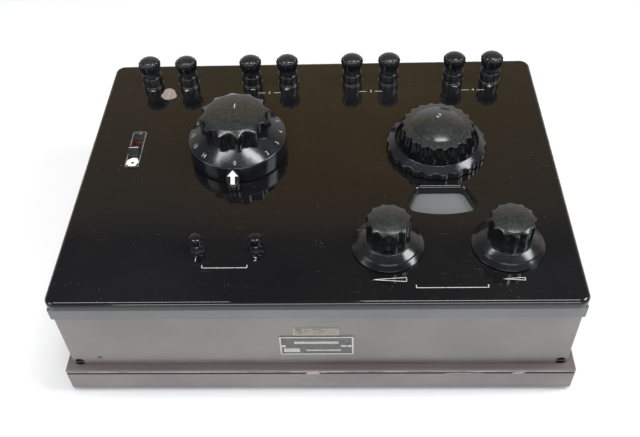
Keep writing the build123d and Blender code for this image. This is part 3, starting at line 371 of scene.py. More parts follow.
def panel_material():
    s = Shader("polished_panel")
    specks = dust(s, 340.0, 0.11)
    lines = scratches(s, 0.3)
    haze = s.span(s.noise(7.0, 4.0, 0.6), 0.4, 0.75)
    base = s.mix(haze, (0.0052, 0.005, 0.006), (0.009, 0.0082, 0.008))
    worn = s.mix(lines, base, (0.06, 0.058, 0.056))
    colour = s.mix(s.maths("MULTIPLY", specks, 0.8), worn, (0.2, 0.19, 0.18))
    shine = s.maths("ADD", s.span(haze, 0.0, 1.0, 0.045, 0.085), s.maths("MULTIPLY", lines, 0.3))
    s.bump(s.noise(14.0, 2.0, 0.5), 0.06, 0.002)
    rough = s.maths("ADD", shine, s.maths("MULTIPLY", specks, 0.4))
    return s.finish(Base_Color=colour, Roughness=rough, IOR=1.56)


def moulding_material(name, base, light, rough_low, rough_high, grain=0.05, top_wear=0.0):
    """Black moulded resin with scratches and specks, paler and duller where its top is handled."""
    s = Shader(name)
    cloud = s.noise(55.0, 4.0, 0.6)
    fine = s.noise(420.0, 3.0, 0.6)
    specks = dust(s, 620.0, 0.13)
    lines = scratches(s, 0.35, (8.0, -52.0), 110.0)
    colour = s.mix(s.span(cloud, 0.35, 0.7), base, light)
    colour = s.mix(lines, colour, (0.09, 0.09, 0.09))
    colour = s.mix(s.maths("MULTIPLY", specks, 0.6), colour, (0.2, 0.19, 0.18))
    rough = s.span(s.maths("ADD", s.maths("MULTIPLY", cloud, 0.6), s.maths("MULTIPLY", fine, 0.4)),
                   0.35, 0.65, rough_low, rough_high)
    facing = s.axis("Z", s.node("ShaderNodeNewGeometry").outputs["Normal"])
    handled = s.maths("MULTIPLY", s.span(facing, 0.8, 0.99), top_wear)
    film = s.mix(s.span(fine, 0.4, 0.6), (0.02, 0.0215, 0.0205), (0.031, 0.033, 0.031))
    colour = s.mix(handled, colour, film)
    rough = s.maths("ADD", rough, s.maths("MULTIPLY", handled, 0.12))
    s.bump(fine, grain, 0.0004)
    return s.finish(Base_Color=colour, Roughness=rough, IOR=1.52)


def paint_material(name, colour, dark, pale, along=(3.0, 60.0, 60.0)):
    """Satin paint on wood: faint grain, cloudy tone and rubbed specks."""
    s = Shader(name)
    grain = s.noise(9.0, 5.0, 0.65, s.scaled(*along), 0.6)
    cloud = s.noise(11.0, 4.0, 0.55)
    fine = s.noise(900.0, 2.0, 0.6)
    tone = s.mix(s.span(cloud, 0.3, 0.72), colour, dark)
    tone = s.mix(s.span(grain, 0.55, 0.8, 0.0, 0.35), tone, dark)
    rubbed = s.maths("MULTIPLY", s.span(fine, 0.7, 0.78), s.span(cloud, 0.5, 0.62))
    tone = s.mix(s.maths("MULTIPLY", rubbed, 0.5), tone, pale)
    height = s.maths("ADD", s.maths("MULTIPLY", grain, 0.7), s.maths("MULTIPLY", fine, 0.15))
    s.bump(height, 0.18, 0.0006)
    return s, tone, s.span(cloud, 0.3, 0.7, 0.34, 0.46)


def case_material():
    """Painted boards, with painted shade that darkens them towards where they meet the base."""
    colours = (0.205, 0.19, 0.183), (0.165, 0.152, 0.15), (0.36, 0.34, 0.32)
    s, tone, rough = paint_material("case_paint", *colours)
    height = s.axis("Z")
    # painted shade: the lowest 9 mm of the boards grow darker towards the base, broken up by streaks
    base_shade_band = s.span(height, (BASE_TOP + 9) * MM, (BASE_TOP + 0.5) * MM)
    streaks = s.noise(16.0, 4.0, 0.6, s.scaled(1.2, 1.2, 4.0))
    dirt_and_shade = s.maths("MULTIPLY", base_shade_band, s.span(streaks, 0.25, 0.75, 0.45, 1.0))
    tone = s.mix(s.maths("MULTIPLY", dirt_and_shade, 0.8), tone, (0.075, 0.048, 0.048))
    return s.finish(Base_Color=tone, Roughness=rough)


def base_material():
    """Painted base, with painted shade in the groove under its bead and a painted highlight in patches on the
    bead.
    """
    colours = (0.2, 0.183, 0.178), (0.15, 0.132, 0.133), (0.4, 0.37, 0.35)
    s, tone, rough = paint_material("base_paint", *colours)
    height = s.axis("Z")
    warm = s.span(height, (BASE_TOP - 6) * MM, (BASE_TOP - 0.5) * MM)
    tone = s.mix(s.maths("MULTIPLY", warm, 0.45), tone, (0.11, 0.075, 0.075))
    # painted shade: a dark line along the groove under the bead
    quirk = s.maths("MULTIPLY", s.span(height, (BASE_TOP - 4.3) * MM, (BASE_TOP - 3.9) * MM),
                    s.span(height, (BASE_TOP - 2.5) * MM, (BASE_TOP - 2.9) * MM))
    tone = s.mix(s.maths("MULTIPLY", quirk, 0.85), tone, (0.03, 0.022, 0.022))
    # painted highlight: the upper face of the bead is paler, in patches
    bead = s.maths("MULTIPLY", s.span(height, (BASE_TOP - 2.6) * MM, (BASE_TOP - 2.1) * MM),
                   s.span(height, (BASE_TOP - 0.5) * MM, (BASE_TOP - 1.0) * MM))
    bead_highlight_patches = s.span(s.noise(38.0, 4.0, 0.6), 0.35, 0.6)
    tone = s.mix(s.maths("MULTIPLY", s.maths("MULTIPLY", bead, bead_highlight_patches), 0.6), tone, (0.42, 0.4, 0.38))
    return s.finish(Base_Color=tone, Roughness=rough)


def rim_material():
    colours = (0.158, 0.163, 0.163), (0.128, 0.132, 0.133), (0.3, 0.3, 0.3)
    s, tone, rough = paint_material("rim_paint", *colours)
    return s.finish(Base_Color=tone, Roughness=rough)


def metal_material(name, colour, dark, rough_low, rough_high, scale=90.0, dirt_and_shade=0.5):
    """Metal with a cloudy tarnish and fine marks."""
    s = Shader(name)
    cloud = s.noise(scale, 5.0, 0.65)
    fine = s.noise(scale * 9, 2.0, 0.5)
    stain = s.maths("MULTIPLY", s.span(cloud, 0.45, 0.75), dirt_and_shade)
    tone = s.mix(stain, colour, dark)
    s.bump(fine, 0.08, 0.0002)
    rough = s.span(cloud, 0.3, 0.7, rough_low, rough_high)
    return s.finish(Base_Color=tone, Roughness=rough, Metallic=1.0)


def plain_material(name, colour, other, rough, scale=60.0, strength=0.1, along=None):
    """Non-metal with a cloudy tone and a little relief."""
    s = Shader(name)
    where = s.scaled(*along) if along else None
    cloud = s.noise(scale, 5.0, 0.6, where)
    tone = s.mix(s.span(cloud, 0.3, 0.72), colour, other)
    s.bump(cloud, strength, 0.0003)
    return s.finish(Base_Color=tone, Roughness=s.span(cloud, 0.3, 0.7, rough, rough + 0.12))


def winding_material(name, wire, gap, pitch):
    """Close turns of wire round a former, as bands across X and Z."""
    s = Shader(name)
    rows = s.maths("SINE", s.maths("MULTIPLY", s.axis("Z"), 2 * pi / (pitch * MM)))
    cross = s.maths("SINE", s.maths("MULTIPLY", s.axis("X"), 2 * pi / (pitch * MM)))
    tone = s.mix(s.span(s.maths("MAXIMUM", rows, cross), -0.2, 0.6), gap, wire)
    s.bump(rows, 0.3, 0.0003)
    return s.finish(Base_Color=tone, Roughness=0.4)


PANEL = panel_material()
KNOB = moulding_material("knob_moulding", (0.0055, 0.0055, 0.0065), (0.009, 0.0095, 0.011), 0.1, 0.18,
                         top_wear=0.85)
SMOOTH = moulding_material("smooth_moulding", (0.009, 0.0095, 0.0125), (0.015, 0.016, 0.02), 0.12, 0.2, 0.03)
CAP = moulding_material("cap_moulding", (0.008, 0.0085, 0.011), (0.015, 0.016, 0.019), 0.13, 0.22,
                        top_wear=0.35)
GLOSSY = moulding_material("glossy_moulding", (0.007, 0.007, 0.009), (0.011, 0.011, 0.013), 0.07, 0.12, 0.02)
COLLAR = moulding_material("collar_moulding", (0.008, 0.0085, 0.011), (0.013, 0.014, 0.017), 0.26, 0.38)
SWITCH = moulding_material("switch_moulding", (0.009, 0.009, 0.01), (0.02, 0.02, 0.021), 0.22, 0.4, 0.12)
CASE = case_material()
BASE = base_material()
RIM = rim_material()
NICKEL = metal_material("nickel", (0.62, 0.6, 0.56), (0.2, 0.18, 0.15), 0.2, 0.4)
DULL = metal_material("dull_nickel", (0.3, 0.29, 0.27), (0.05, 0.045, 0.04), 0.3, 0.55, 160.0, 0.95)
STEEL = metal_material("steel", (0.42, 0.41, 0.39), (0.12, 0.1, 0.08), 0.3, 0.5)
BRASS = metal_material("brass", (0.58, 0.42, 0.18), (0.25, 0.15, 0.05), 0.22, 0.4)
PLATE = metal_material("plate_metal", (0.55, 0.54, 0.51), (0.25, 0.23, 0.2), 0.35, 0.5, 240.0)
PLATE_FIELD = plain_material("plate_field", (0.07, 0.072, 0.07), (0.11, 0.112, 0.108), 0.4, 300.0)
PLATE_PALE = plain_material("plate_pale", (0.5, 0.49, 0.45), (0.36, 0.35, 0.32), 0.5, 400.0)
STRIP = metal_material("strip_metal", (0.3, 0.28, 0.23), (0.14, 0.12, 0.09), 0.4, 0.6, 300.0, 0.9)
WHITE = plain_material("mark_white", (0.62, 0.61, 0.58), (0.4, 0.39, 0.37), 0.5, 500.0)
WORN = plain_material("mark_worn", (0.22, 0.21, 0.2), (0.09, 0.088, 0.085), 0.5, 900.0)
BORDER = plain_material("worn_border", (0.36, 0.35, 0.33), (0.16, 0.155, 0.15), 0.5, 300.0)
SPOT = plain_material("worn_spot", (0.3, 0.25, 0.23), (0.2, 0.16, 0.15), 0.5, 260.0)
ARROW = plain_material("arrow_ivory", (0.82, 0.79, 0.7), (0.7, 0.66, 0.56), 0.4, 300.0)
RED = plain_material("red_mark", (0.42, 0.12, 0.09), (0.25, 0.07, 0.05), 0.5, 500.0)
IVORY = plain_material("scale_ivory", (0.92, 0.87, 0.77), (0.86, 0.81, 0.7), 0.42, 120.0, 0.04)
GREY_DISC = plain_material("disc_grey", (0.2, 0.2, 0.195), (0.15, 0.15, 0.145), 0.45, 160.0)
INK = plain_material("scale_ink", (0.05, 0.045, 0.04), (0.1, 0.09, 0.08), 0.6, 600.0)
RUBBER = plain_material("rubber", (0.022, 0.022, 0.022), (0.035, 0.034, 0.033), 0.7, 300.0, 0.3)
BARE_WOOD = plain_material("bare_wood", (0.42, 0.28, 0.16), (0.28, 0.17, 0.09), 0.6, 30.0, 0.3,
                           (6.0, 6.0, 0.6))
LAMINATE = plain_material("laminate", (0.16, 0.07, 0.035), (0.1, 0.042, 0.02), 0.4, 60.0)
CARD = winding_material("resistance_card", (0.5, 0.33, 0.13), (0.12, 0.06, 0.02), 0.35)
WIRE = winding_material("resistance_wire", (0.45, 0.4, 0.32), (0.12, 0.1, 0.08), 0.4)
CHIP = plain_material("chipped_paint", (0.5, 0.42, 0.38), (0.3, 0.22, 0.19), 0.6, 900.0, 0.3)


def paint_nodes():
    """A material for each node that is shown as it is."""
    groups = (
        (BARE_WOOD, ("corner_blocks",)),
        (RUBBER, ("feet",)),
        (PLATE, ("name_plates", "plate_pins")),
        (NICKEL, ("terminal_studs", "terminal_nuts", "bushing_nuts", "deck_pillars")),
        (STEEL, ("case_screws", "v_shaft", "v_detent_spring", "mv_shaft")),
        (BRASS, ("shaft_bushings", "v_brush_arm", "v_detent_wheel", "v_contacts", "mv_wiper", "coarse_wiper",
                 "fine_wiper", "key_contacts", "low_leaf", "high_leaf")),
        (LAMINATE, ("v_deck", "mv_deck", "slidewire_former", "rheostat_bodies", "key_block", "switch_body")),
        (CARD, ("v_coils",)),
        (WIRE, ("slidewire", "rheostat_windings")),
        (GREY_DISC, ("scale_disc",)),
        (SWITCH, ("switch_slider",)),
    )
    wanted = {name: material for material, names in groups for name in names}
    for name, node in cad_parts.items():
        node.data.materials.clear()
        node.data.materials.append(wanted.get(name, KNOB))


# Case

def build_case():
    """Boards, rim and base as closed blocks with softened edges."""
    ease = 0.7
    body = [(0, BASE_TOP), (0, high_mm("front_board").z)]
    box = moulding(CASE_X, -FRONT, 1.2, body)
    piece("case_box", box, CASE, "case", ["front_board", "back_board", "side_boards"])
    rim_x, rim_y = high_mm("rim_strips").xy
    rim_low = low_mm("rim_strips").z
    rim = [(0.4, rim_low), (0, rim_low + 0.4), (0, UNDER - 0.4), (0.4, UNDER)]
    piece("rim_band", moulding(rim_x, rim_y, 1.6, rim), RIM, "case", ["rim_strips"])
    bead = 1.6
    quirk_top = BASE_TOP - 2.6
    quirk_low = quirk_top - 1.2
    profile = [(1.5, BASE_LOW), (0.45, BASE_LOW + 0.45), (0, BASE_LOW + 1.5), (0, quirk_low - ease)]
    groove = [(0.2, quirk_low - 0.2), (0.9, quirk_low + 0.1), (1.0, quirk_low + 0.6), (0.9, quirk_top - 0.1)]
    profile += groove
    for k in range(9):
        a = radians(-50 + 140 * k / 8)
        profile.append((bead * (1 - cos(a)), BASE_TOP - bead + bead * sin(a) * (1 if a > 0 else 0.9)))
    base = moulding(BASE_X, BASE_Y, 1.8, profile)
    piece("base_moulding", base, BASE, "case", ["base_board"])


def window_outline(steps=9):
    """Opening over the scale, about the dial's shaft: straight back, radial sides, round front."""
    side = radians(WINDOW_HALF_ANGLE)
    corner = WINDOW_CORNER_R
    back_y = -WINDOW_BACK - corner
    back_x = (-back_y * sin(side) - corner) / cos(side)
    reach = WINDOW_R - corner
    lean = side - asin(corner / reach)
    front_x, front_y = reach * sin(lean), -reach * cos(lean)
    front_left, front_right = 1.5 * pi - lean, 1.5 * pi + lean
    arcs = [
        (back_x, back_y, corner, side, pi / 2),
        (-back_x, back_y, corner, pi / 2, pi - side),
        (-front_x, front_y, corner, pi - side, front_left),
        (0.0, 0.0, WINDOW_R, front_left, front_right),
        (front_x, front_y, corner, front_right, 2 * pi + side),
    ]
    outline = []
    for x, y, r, first, last in arcs:
        for k in range(steps + 1):
            a = first + (last - first) * k / steps
            point = (x + r * cos(a), y + r * sin(a))
            if not outline or hypot(point[0] - outline[-1][0], point[1] - outline[-1][1]) > 0.01:
                outline.append(point)
    return outline


def build_panel():
    """Moulded panel with its openings and a soft edge all round."""
    outer = rounded(PANEL_X, PANEL_Y, PANEL_CORNER_R, 10)
    window = [(x + MV_X, y + MV_Y) for x, y in window_outline()]
    loops = [(outer, -1, PANEL_EDGE_R, PANEL_LOWER_EDGE_R), (window, 1, WINDOW_EDGE_R, 0.0)]
    slot_x = middle_mm("switch_slider").x
    plate_y = middle_mm("switch_plate").y
    slot = [(slot_x + x, plate_y + y) for x, y in rounded(SLOT_HALF_W, SLOT_HALF_L, 0.2, 1)]
    loops.append((slot, 1, 0.05, 0.0))
    for node, radius in (("v_shaft", 4.6), ("mv_shaft", 4.6), ("coarse_knob", 3.6), ("fine_knob", 3.6),
                         ("low_button", 3.9), ("high_button", 3.9)):
        x, y = middle_mm(node).xy
        hole = [(x + radius * cos(pi * k / 12), y + radius * sin(pi * k / 12)) for k in range(24)]
        loops.append((hole, 1, 0.05, 0.0))
    points, faces = [], []
    tops, bottoms = [], []
    for outline, out, edge, lower_edge in loops:
        rows = [(0.0, UNDER)]
        if lower_edge:
            third = 0.3 * lower_edge
            rows = [(lower_edge, UNDER), (third, UNDER + third), (0.0, UNDER + lower_edge)]
        if outline is window:
            rows = [(LIP_W, UNDER), (LIP_W, LIP_LOW), (0.0, LIP_LOW)]
        rows += quarter(edge, UNDER + max(lower_edge, 0.2), TOP)[1:]
        rings = []
        for inset, z in rows:
            rings.append([(x, y, z) for x, y in shifted(outline, out * inset)])
        shape_points, shape_faces = skin(rings)
        shape_faces = shape_faces[:-2]
        if out > 0:
            shape_faces = [face[::-1] for face in shape_faces]
        start = len(points)
        count = len(outline)
        points += shape_points
        faces += [tuple(start + k for k in face) for face in shape_faces]
        bottoms.append([start + k for k in range(count)])
        tops.append([start + (len(rows) - 1) * count + k for k in range(count)])
    for rims, up in ((tops, True), (bottoms, False)):
        flat = [k for rim in rims for k in rim]
        for a, b, c in tessellate_polygon([[Vector(points[k]) for k in rim] for rim in rims]):
            triangle = [flat[a], flat[b], flat[c]]
            pa, pb, pc = (Vector(points[k]) for k in triangle)
            if ((pb - pa).cross(pc - pa).z > 0) != up:
                triangle.reverse()
            faces.append(tuple(triangle))
    made = piece("panel_top", (points, faces), PANEL, "case", ["panel"], 60.0)
    even = made.modifiers.new("even_normals", "WEIGHTED_NORMAL")
    even.keep_sharp = True


# Knobs

def flute_depth(angle, count, rim_r, depth, land, at):
    """How far a knob's side lies inside its rim at an angle."""
    step = 2 * pi / count
    off = (angle - radians(at) + step / 2) % step - step / 2
    half = rim_r * sin(step / 2) - land / 2
    cutter = (half * half + depth * depth) / (2 * depth)
    across = rim_r * sin(off)
    drop = sqrt(max(cutter * cutter - across * across, 0.0)) - (cutter - depth)
    return (drop + sqrt(drop * drop + FLUTE_EASE * FLUTE_EASE)) / 2


def on_slope(start, end, r):
    """Height of a straight slope at a radius."""
    return start[1] + (r - start[0]) * (end[1] - start[1]) / (end[0] - start[0])


def lobed(rim, foot, rest, count, depth, land, at, per_lobe=22, ease=0.4):
    """Fluted knob: rim and foot are radius and height, rest is the profile of its top, inwards.

    A flute is cut this deep between lands this wide, and one land stands at this angle.
    """
    segments = count * per_lobe
    rise = 9
    rings = [[] for _ in range(rise + 6)]
    for k in range(segments):
        angle = 2 * pi * k / segments
        d = flute_depth(angle, count, rim[0], depth, land, at)
        edge_r = rim[0] - d
        edge_z = on_slope(rim, rest[0], edge_r)
        foot_r = foot[0] - d
        column = [(foot_r - 0.4, foot[1]), (foot_r, foot[1] + 0.4)]
        for row in range(1, rise):
            t = row / rise
            column.append((foot_r + (edge_r - foot_r) * t, foot[1] + (edge_z - ease - foot[1]) * t))
        column.append((edge_r, edge_z - ease))
        column.append((edge_r - 0.12 * ease, edge_z - 0.45 * ease))
        column.append((edge_r - 0.5 * ease, on_slope(rim, rest[0], edge_r - 0.5 * ease) - 0.1 * ease))
        inner = edge_r - 1.1 * ease
        column.append((inner, on_slope(rim, rest[0], inner)))
        half_way = (inner + rest[0][0] + 0.6) / 2
        column.append((half_way, on_slope(rim, rest[0], half_way)))
        for ring, (r, z) in zip(rings, column):
            ring.append((r * cos(angle), r * sin(angle), z))
    start = (rest[0][0] + 0.6, on_slope(rim, rest[0], rest[0][0] + 0.6))
    for r, z in softened([start] + rest, 2.4):
        rings.append(circle(max(r, 0.02), z, segments))
    return skin(rings)


def dome(radius, low, high, steps, power):
    """Profile of a low dome, from its rim to its crown."""
    rows = []
    for k in range(steps + 1):
        t = 1 - k / steps
        rows.append((radius * t, low + (high - low) * (1 - t**power)))
    return rows


def build_voltage_dial():
    """Skirt with its sloped number ring, and the 12-lobed knob."""
    rim_r = high_mm("v_dial").x - V_X
    profile = [(11.2, FOOT_GAP), (rim_r, FOOT_GAP), (rim_r, DIAL_RIM_H)]
    profile += [(DIAL_CONE_R, DIAL_CONE_H), (12.0, DIAL_CONE_H)]
    shape = turned(softened(profile, 0.9, 5), 144)
    piece("dial_skirt", moved(shape, V_X, V_Y, TOP), SMOOTH, "voltage_dial", ["v_dial"])
    rest = dome(20.6, 36.4, DIAL_KNOB_H, 10, 2.4)
    shape = lobed((26.3, 33.8), (25.7, 18.4), rest, count=12, depth=3.7, land=1.9, at=25.0)
    piece("dial_knob", moved(shape, V_X, V_Y, TOP), KNOB, "voltage_dial", ["v_knob"])


def build_millivolt_dial():
    """Lobed ring and the fluted knob that stands in it."""
    rest = [(31.2, 9.6), (30.4, 9.2), (30.2, 6.4), (12.0, 6.4)]
    shape = lobed((MV_RING_R, 5.4), (MV_RING_R, FOOT_GAP), rest, count=22, depth=1.4, land=3.0, at=3.8,
                  per_lobe=16)
    piece("lower_ring", moved(shape, MV_X, MV_Y, TOP), SMOOTH, "millivolt_dial", ["mv_ring"])
    rest = dome(19.5, 22.6, MV_KNOB_H, 10, 2.2)
    shape = lobed((26.6, 21.0), (28.2, 6.5), rest, count=20, depth=1.9, land=2.0, at=16.0, per_lobe=16)
    piece("upper_knob", moved(shape, MV_X, MV_Y, TOP), KNOB, "millivolt_dial", ["mv_knob"])


def build_rheostat_knobs():
    """Fluted knobs on conical skirts with a small step near the rim."""
    skirt = [(9.0, FOOT_GAP), (24.3, FOOT_GAP), (24.3, 1.7), (20.9, 3.9), (20.6, 4.5), (15.4, 7.6)]
    skirt += [(12.0, 7.7)]
    base = turned(softened(skirt, 0.3, 4), 120)
    rest = dome(12.5, 26.2, 28.0, 9, 2.2)
    for name, body, at in (("coarse_knob", "coarse_rheostat", 28.0), ("fine_knob", "fine_rheostat", 15.0)):
        x, y = middle_mm(name).xy
        top = lobed((15.1, 25.0), (14.6, 6.6), rest, count=12, depth=1.6, land=1.1, at=at, per_lobe=18)
        piece(body + "_knob", moved(joined([base, top]), x, y, TOP), KNOB, body, [name])


# Terminals

def cap_shape():
    """Cap that widens from its waist, with sharp ridges between flutes that run out on a low dome."""
    # radius, height and the share of the flutes' depth
    rows = [
        (6.3, 0.0, 0.0), (6.75, 0.2, 0.0), (6.8, 1.1, 0.0), (6.75, 1.9, 0.15), (6.9, 2.6, 0.55),
        (7.3, 3.8, 0.85), (7.8, 5.4, 1.0), (8.3, 7.2, 1.0), (8.75, 8.8, 1.0), (9.0, 10.0, 1.0),
        (8.95, 10.7, 1.0), (8.75, 11.3, 0.9), (8.3, 12.0, 0.65), (7.6, 12.7, 0.3), (6.7, 13.35, 0.06),
        (5.6, 13.95, 0.0), (4.3, 14.5, 0.0), (3.0, 14.87, 0.0), (1.5, 15.12, 0.0), (0.02, 15.2, 0.0),
    ]
    segments = CAP_FLUTES * 14
    bore = [(0.02, CAP_BORE_H, 0.0), (BORE_R, CAP_BORE_H, 0.0), (BORE_R, 0.0, 0.0)]
    rings = []
    for r, z, share in bore + rows:
        ring = []
        for k in range(segments):
            angle = 2 * pi * k / segments
            off = abs((CAP_FLUTES * angle / (2 * pi)) % 1 - 0.5) * 2
            out = r - CAP_FLUTE_D * share * (1 - off * off)
            ring.append((out * cos(angle), out * sin(angle), z))
        rings.append(ring)
    return skin(rings)


def build_terminals():
    """Washer seat, collar, seam ring and cap on each stud."""
    seat = [(STUD_R, 0), (SEAT_R, 0), (SEAT_R + 0.05, 0.3), (SEAT_R, SEAT_H - 0.25), (SEAT_R - 0.3, SEAT_H),
            (STUD_R, SEAT_H)]
    tube = [(BORE_R, SEAT_H), (COLLAR_R, SEAT_H), (COLLAR_R, COLLAR_TOP), (BORE_R, COLLAR_TOP)]
    seam = [(BORE_R, 0), (SEAM_R - 0.2, 0), (SEAM_R, 0.2), (SEAM_R, 0.5), (SEAM_R - 0.2, 0.7), (BORE_R, 0.7)]
    washer = turned(seat)
    collar = turned(softened(tube, 0.7))
    ring = moved(turned(seam), z=COLLAR_TOP)
    cap = cap_shape()
    collars, rings, washers = [], [], []
    for number, node in enumerate(CAPS, start=1):
        x, y = middle_mm(node).xy
        this_cap = moved(cap, x, y, TOP + CAP_LOW)
        piece(f"cap_{number}", this_cap, CAP, f"terminal_{number}", [node])
        collars.append(moved(collar, x, y, TOP))
        rings.append(moved(ring, x, y, TOP))
        washers.append(moved(washer, x, y, TOP))
    piece("collars", joined(collars), COLLAR, "case", ["terminal_collars"])
    piece("seam_rings", joined(rings), CAP, "case")
    piece("washers", joined(washers), DULL, "case")


# Keys, post and switch

def build_keys():
    """Key tops on their plungers, in flared guides."""
    guide = [(3.33, -14.0), (4.6, -14.0), (4.6, 0), (6.0, 0.02), (6.05, 0.6), (5.85, 1.2), (5.25, 2.2)]
    guide += [(4.85, 3.4), (4.7, 4.6), (4.65, 5.3), (4.4, 5.6), (3.33, 5.6)]
    guides = []
    for side in ("low", "high"):
        node = side + "_button"
        x, y = middle_mm(node).xy
        low = low_mm(node).z - TOP
        head = [(0, low), (1.5, low), (1.5, -11.2), (3.3, -11.2), (3.3, 8.4), (4.1, 8.5)]
        head += [(4.15, 10.2), (3.9, 10.9), (3.2, 11.3), (1.9, 11.48), (0.02, 11.5)]
        top = moved(turned(head, 64), x, y, TOP)
        piece(side + "_key_top", top, GLOSSY, side + "_key", [node])
        guides.append(moved(turned(guide, 64, ends=False), x, y, TOP))
    piece("key_guides", joined(guides), GLOSSY, "case", ["key_bushings"])


def build_leaves():
    """Leaf springs under the keys, as copies of the model's leaves."""
    for side, foot, tip, inward in (("low", 1, 0, -0.004), ("high", 0, 1, 0.004)):
        node = side + "_leaf"
        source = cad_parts[node]
        mesh = source.data.copy()
        mesh.transform(source.matrix_world)
        leaf = bpy.data.objects.new(side + "_leaf_spring", mesh)
        bpy.context.collection.objects.link(leaf)
        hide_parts(node)
        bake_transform(leaf)


def build_post():
    """Round post cut off at a slope that faces the reader, with its arrow."""
    x, y = middle_mm("index_post").xy
    r, front, back = 4.8, 6.7, 15.4
    stem_r, stem_low = 2.4, -7.0
    segments = 64
    rings = [circle(stem_r, stem_low, segments), circle(r, 0.0, segments)]
    for inset, lift in ((0, -0.35), (0.12, -0.1), (0.4, 0.0)):
        ring = []
        for px, py, _ in circle(r - inset, 0.0, segments):
            ring.append((px, py, front + (back - front) * (py + r) / (2 * r) + lift))
        rings.append(ring)
    piece("index_pillar", moved(skin(rings), x, y, TOP), SMOOTH, "case", ["index_post"])
    head_w, head_l, tail_w, half_l = 3.9, 4.4, 1.5, 5.1
    neck = half_l - head_l
    outline = [(0, half_l), (-head_w, neck), (-tail_w, neck), (-tail_w, -half_l)]
    outline += [(tail_w, -half_l), (tail_w, neck), (head_w, neck)]
    matrix = Matrix.Translation((x, y, TOP + (front + back) / 2))
    matrix = matrix @ Matrix.Rotation(atan2(back - front, 2 * r), 4, "X") @ Matrix.Translation((0, 0.3, 0.02))
    piece("index_arrow", placed(flat_shape(outline, 0.12), matrix), ARROW, "case")


def oblong(half_w, half_d):
    return [(-half_w, -half_d), (half_w, -half_d), (half_w, half_d), (-half_w, half_d)]


def flat_shape(outline, thick):
    """Thin plate from an outline that runs counter-clockwise."""
    return skin([[(x, y, 0.0) for x, y in outline], [(x, y, thick) for x, y in outline]])


def build_switch():
    """Bordered cover with its slot, screw, worn paint and a painted highlight on the slider's edge."""
    x, y = middle_mm("switch_plate").xy
    half_l = high_mm("switch_plate").y - y
    outer = rounded(SWITCH_HALF_W, half_l, SWITCH_CORNER_R)
    slot = rounded(SLOT_HALF_W, SLOT_HALF_L, 0.3)
    rings = []
    for outline, inset, z in ((slot, 0, 0.0), (outer, 0, 0.0), (outer, 0, 0.5), (outer, 0.3, SWITCH_H),
                              (slot, 0, SWITCH_H)):
        rings.append([(px, py, z) for px, py in shifted(outline, -inset)])
    cover = moved(skin(rings, ends=False), x, y, TOP)
    piece("switch_cover", cover, SWITCH, "case", ["switch_plate"])
    line = 0.35
    line_h = SWITCH_H + 0.06
    border = []
    for inset, z in ((0.9, SWITCH_H), (0.9, line_h), (0.9 + line, line_h), (0.9 + line, SWITCH_H)):
        border.append([(px, py, z) for px, py in shifted(outer, -inset)])
    piece("switch_border", moved(skin(border, ends=False), x, y, TOP), BORDER, "case")
    sx, sy = middle_mm("switch_screw").xy
    head = [(0, SWITCH_H), (2.1, SWITCH_H), (2.1, 1.1), (1.6, 1.5), (0.02, 1.6)]
    shape = moved(turned(head, 40), sx, sy, TOP)
    piece("switch_screw_head", shape, DULL, "case", ["switch_screw"])
    # painted shade: the screw's slot is a flat dark sheet on the head, not a cut
    turn = Matrix.Translation((sx, sy, TOP + 1.58)) @ Matrix.Rotation(radians(24), 4, "Z")
    piece("switch_screw_slot", placed(flat_shape(oblong(1.9, 0.22), 0.04), turn), INK, "case")
    wall = Matrix.Translation((x, y + SLOT_HALF_L - 0.07, TOP - 2.9)) @ Matrix.Rotation(pi / 2, 4, "X")
    piece("switch_red_mark", placed(flat_shape(oblong(3.1, 2.5), 0.04), wall), RED, "case")
    blob("switch_worn_mark", x, y - half_l + 5.6, TOP + SWITCH_H, 4.5, 4.6, IVORY, 8)
    blob("switch_dark_mark", x + 0.3, y - half_l + 4.8, TOP + SWITCH_H + 0.07, 1.3, 1.1, INK, 5)
    # painted highlight: a thin white strip along the slider's top edge
    slider = middle_mm("switch_slider")
    slider_top = high_mm("switch_slider").z + 0.01
    edge = moved(flat_shape(oblong(3.5, 0.35), 0.06), slider.x, slider.y + 0.6, slider_top)
    piece("slider_edge_highlight", edge, WHITE, "battery_switch")


def blob(name, x, y, z, half_w, half_d, material, seed, turn=Matrix()):
    """Irregular thin patch on the case, such as worn paint."""
    chance = random.Random(seed)
    count = 22
    waves = [(n, chance.uniform(0.03, 0.16) / n**0.5, chance.uniform(0, 2 * pi)) for n in (2, 3, 5, 7)]
    outline = []
    for k in range(count):
        a = 2 * pi * k / count
        swell = 1 + sum(size * sin(n * a + phase) for n, size, phase in waves)
        outline.append((half_w * swell * cos(a), half_d * swell * sin(a)))
    matrix = Matrix.Translation((x, y, z)) @ turn
    piece(name, placed(flat_shape(outline, 0.05), matrix), material, "case")


# Marks

def glyphs(text, height, matrix):
    """Flat shape of some characters, their middle at the matrix's origin."""
    curve = bpy.data.curves.new("glyphs", "FONT")
    curve.body = text
    curve.align_x = "CENTER"
    curve.align_y = "CENTER"
    curve.size = height * 1.38
    curve.resolution_u = 3
    curve.offset = -0.012 * height
    holder = bpy.data.objects.new("glyphs", curve)
    mesh = bpy.data.meshes.new_from_object(holder)
    points = [tuple(matrix @ v.co) for v in mesh.vertices]
    faces = [tuple(p.vertices) for p in mesh.polygons]
    bpy.data.objects.remove(holder)
    bpy.data.curves.remove(curve)
    bpy.data.meshes.remove(mesh)
    return points, faces


def bar(x, y, z, length, width, turn=0.0):
    """Thin straight line on the panel."""
    matrix = Matrix.Translation((x, y, z)) @ Matrix.Rotation(radians(turn), 4, "Z")
    return placed(flat_shape(oblong(length / 2, width / 2), 0.02), matrix)


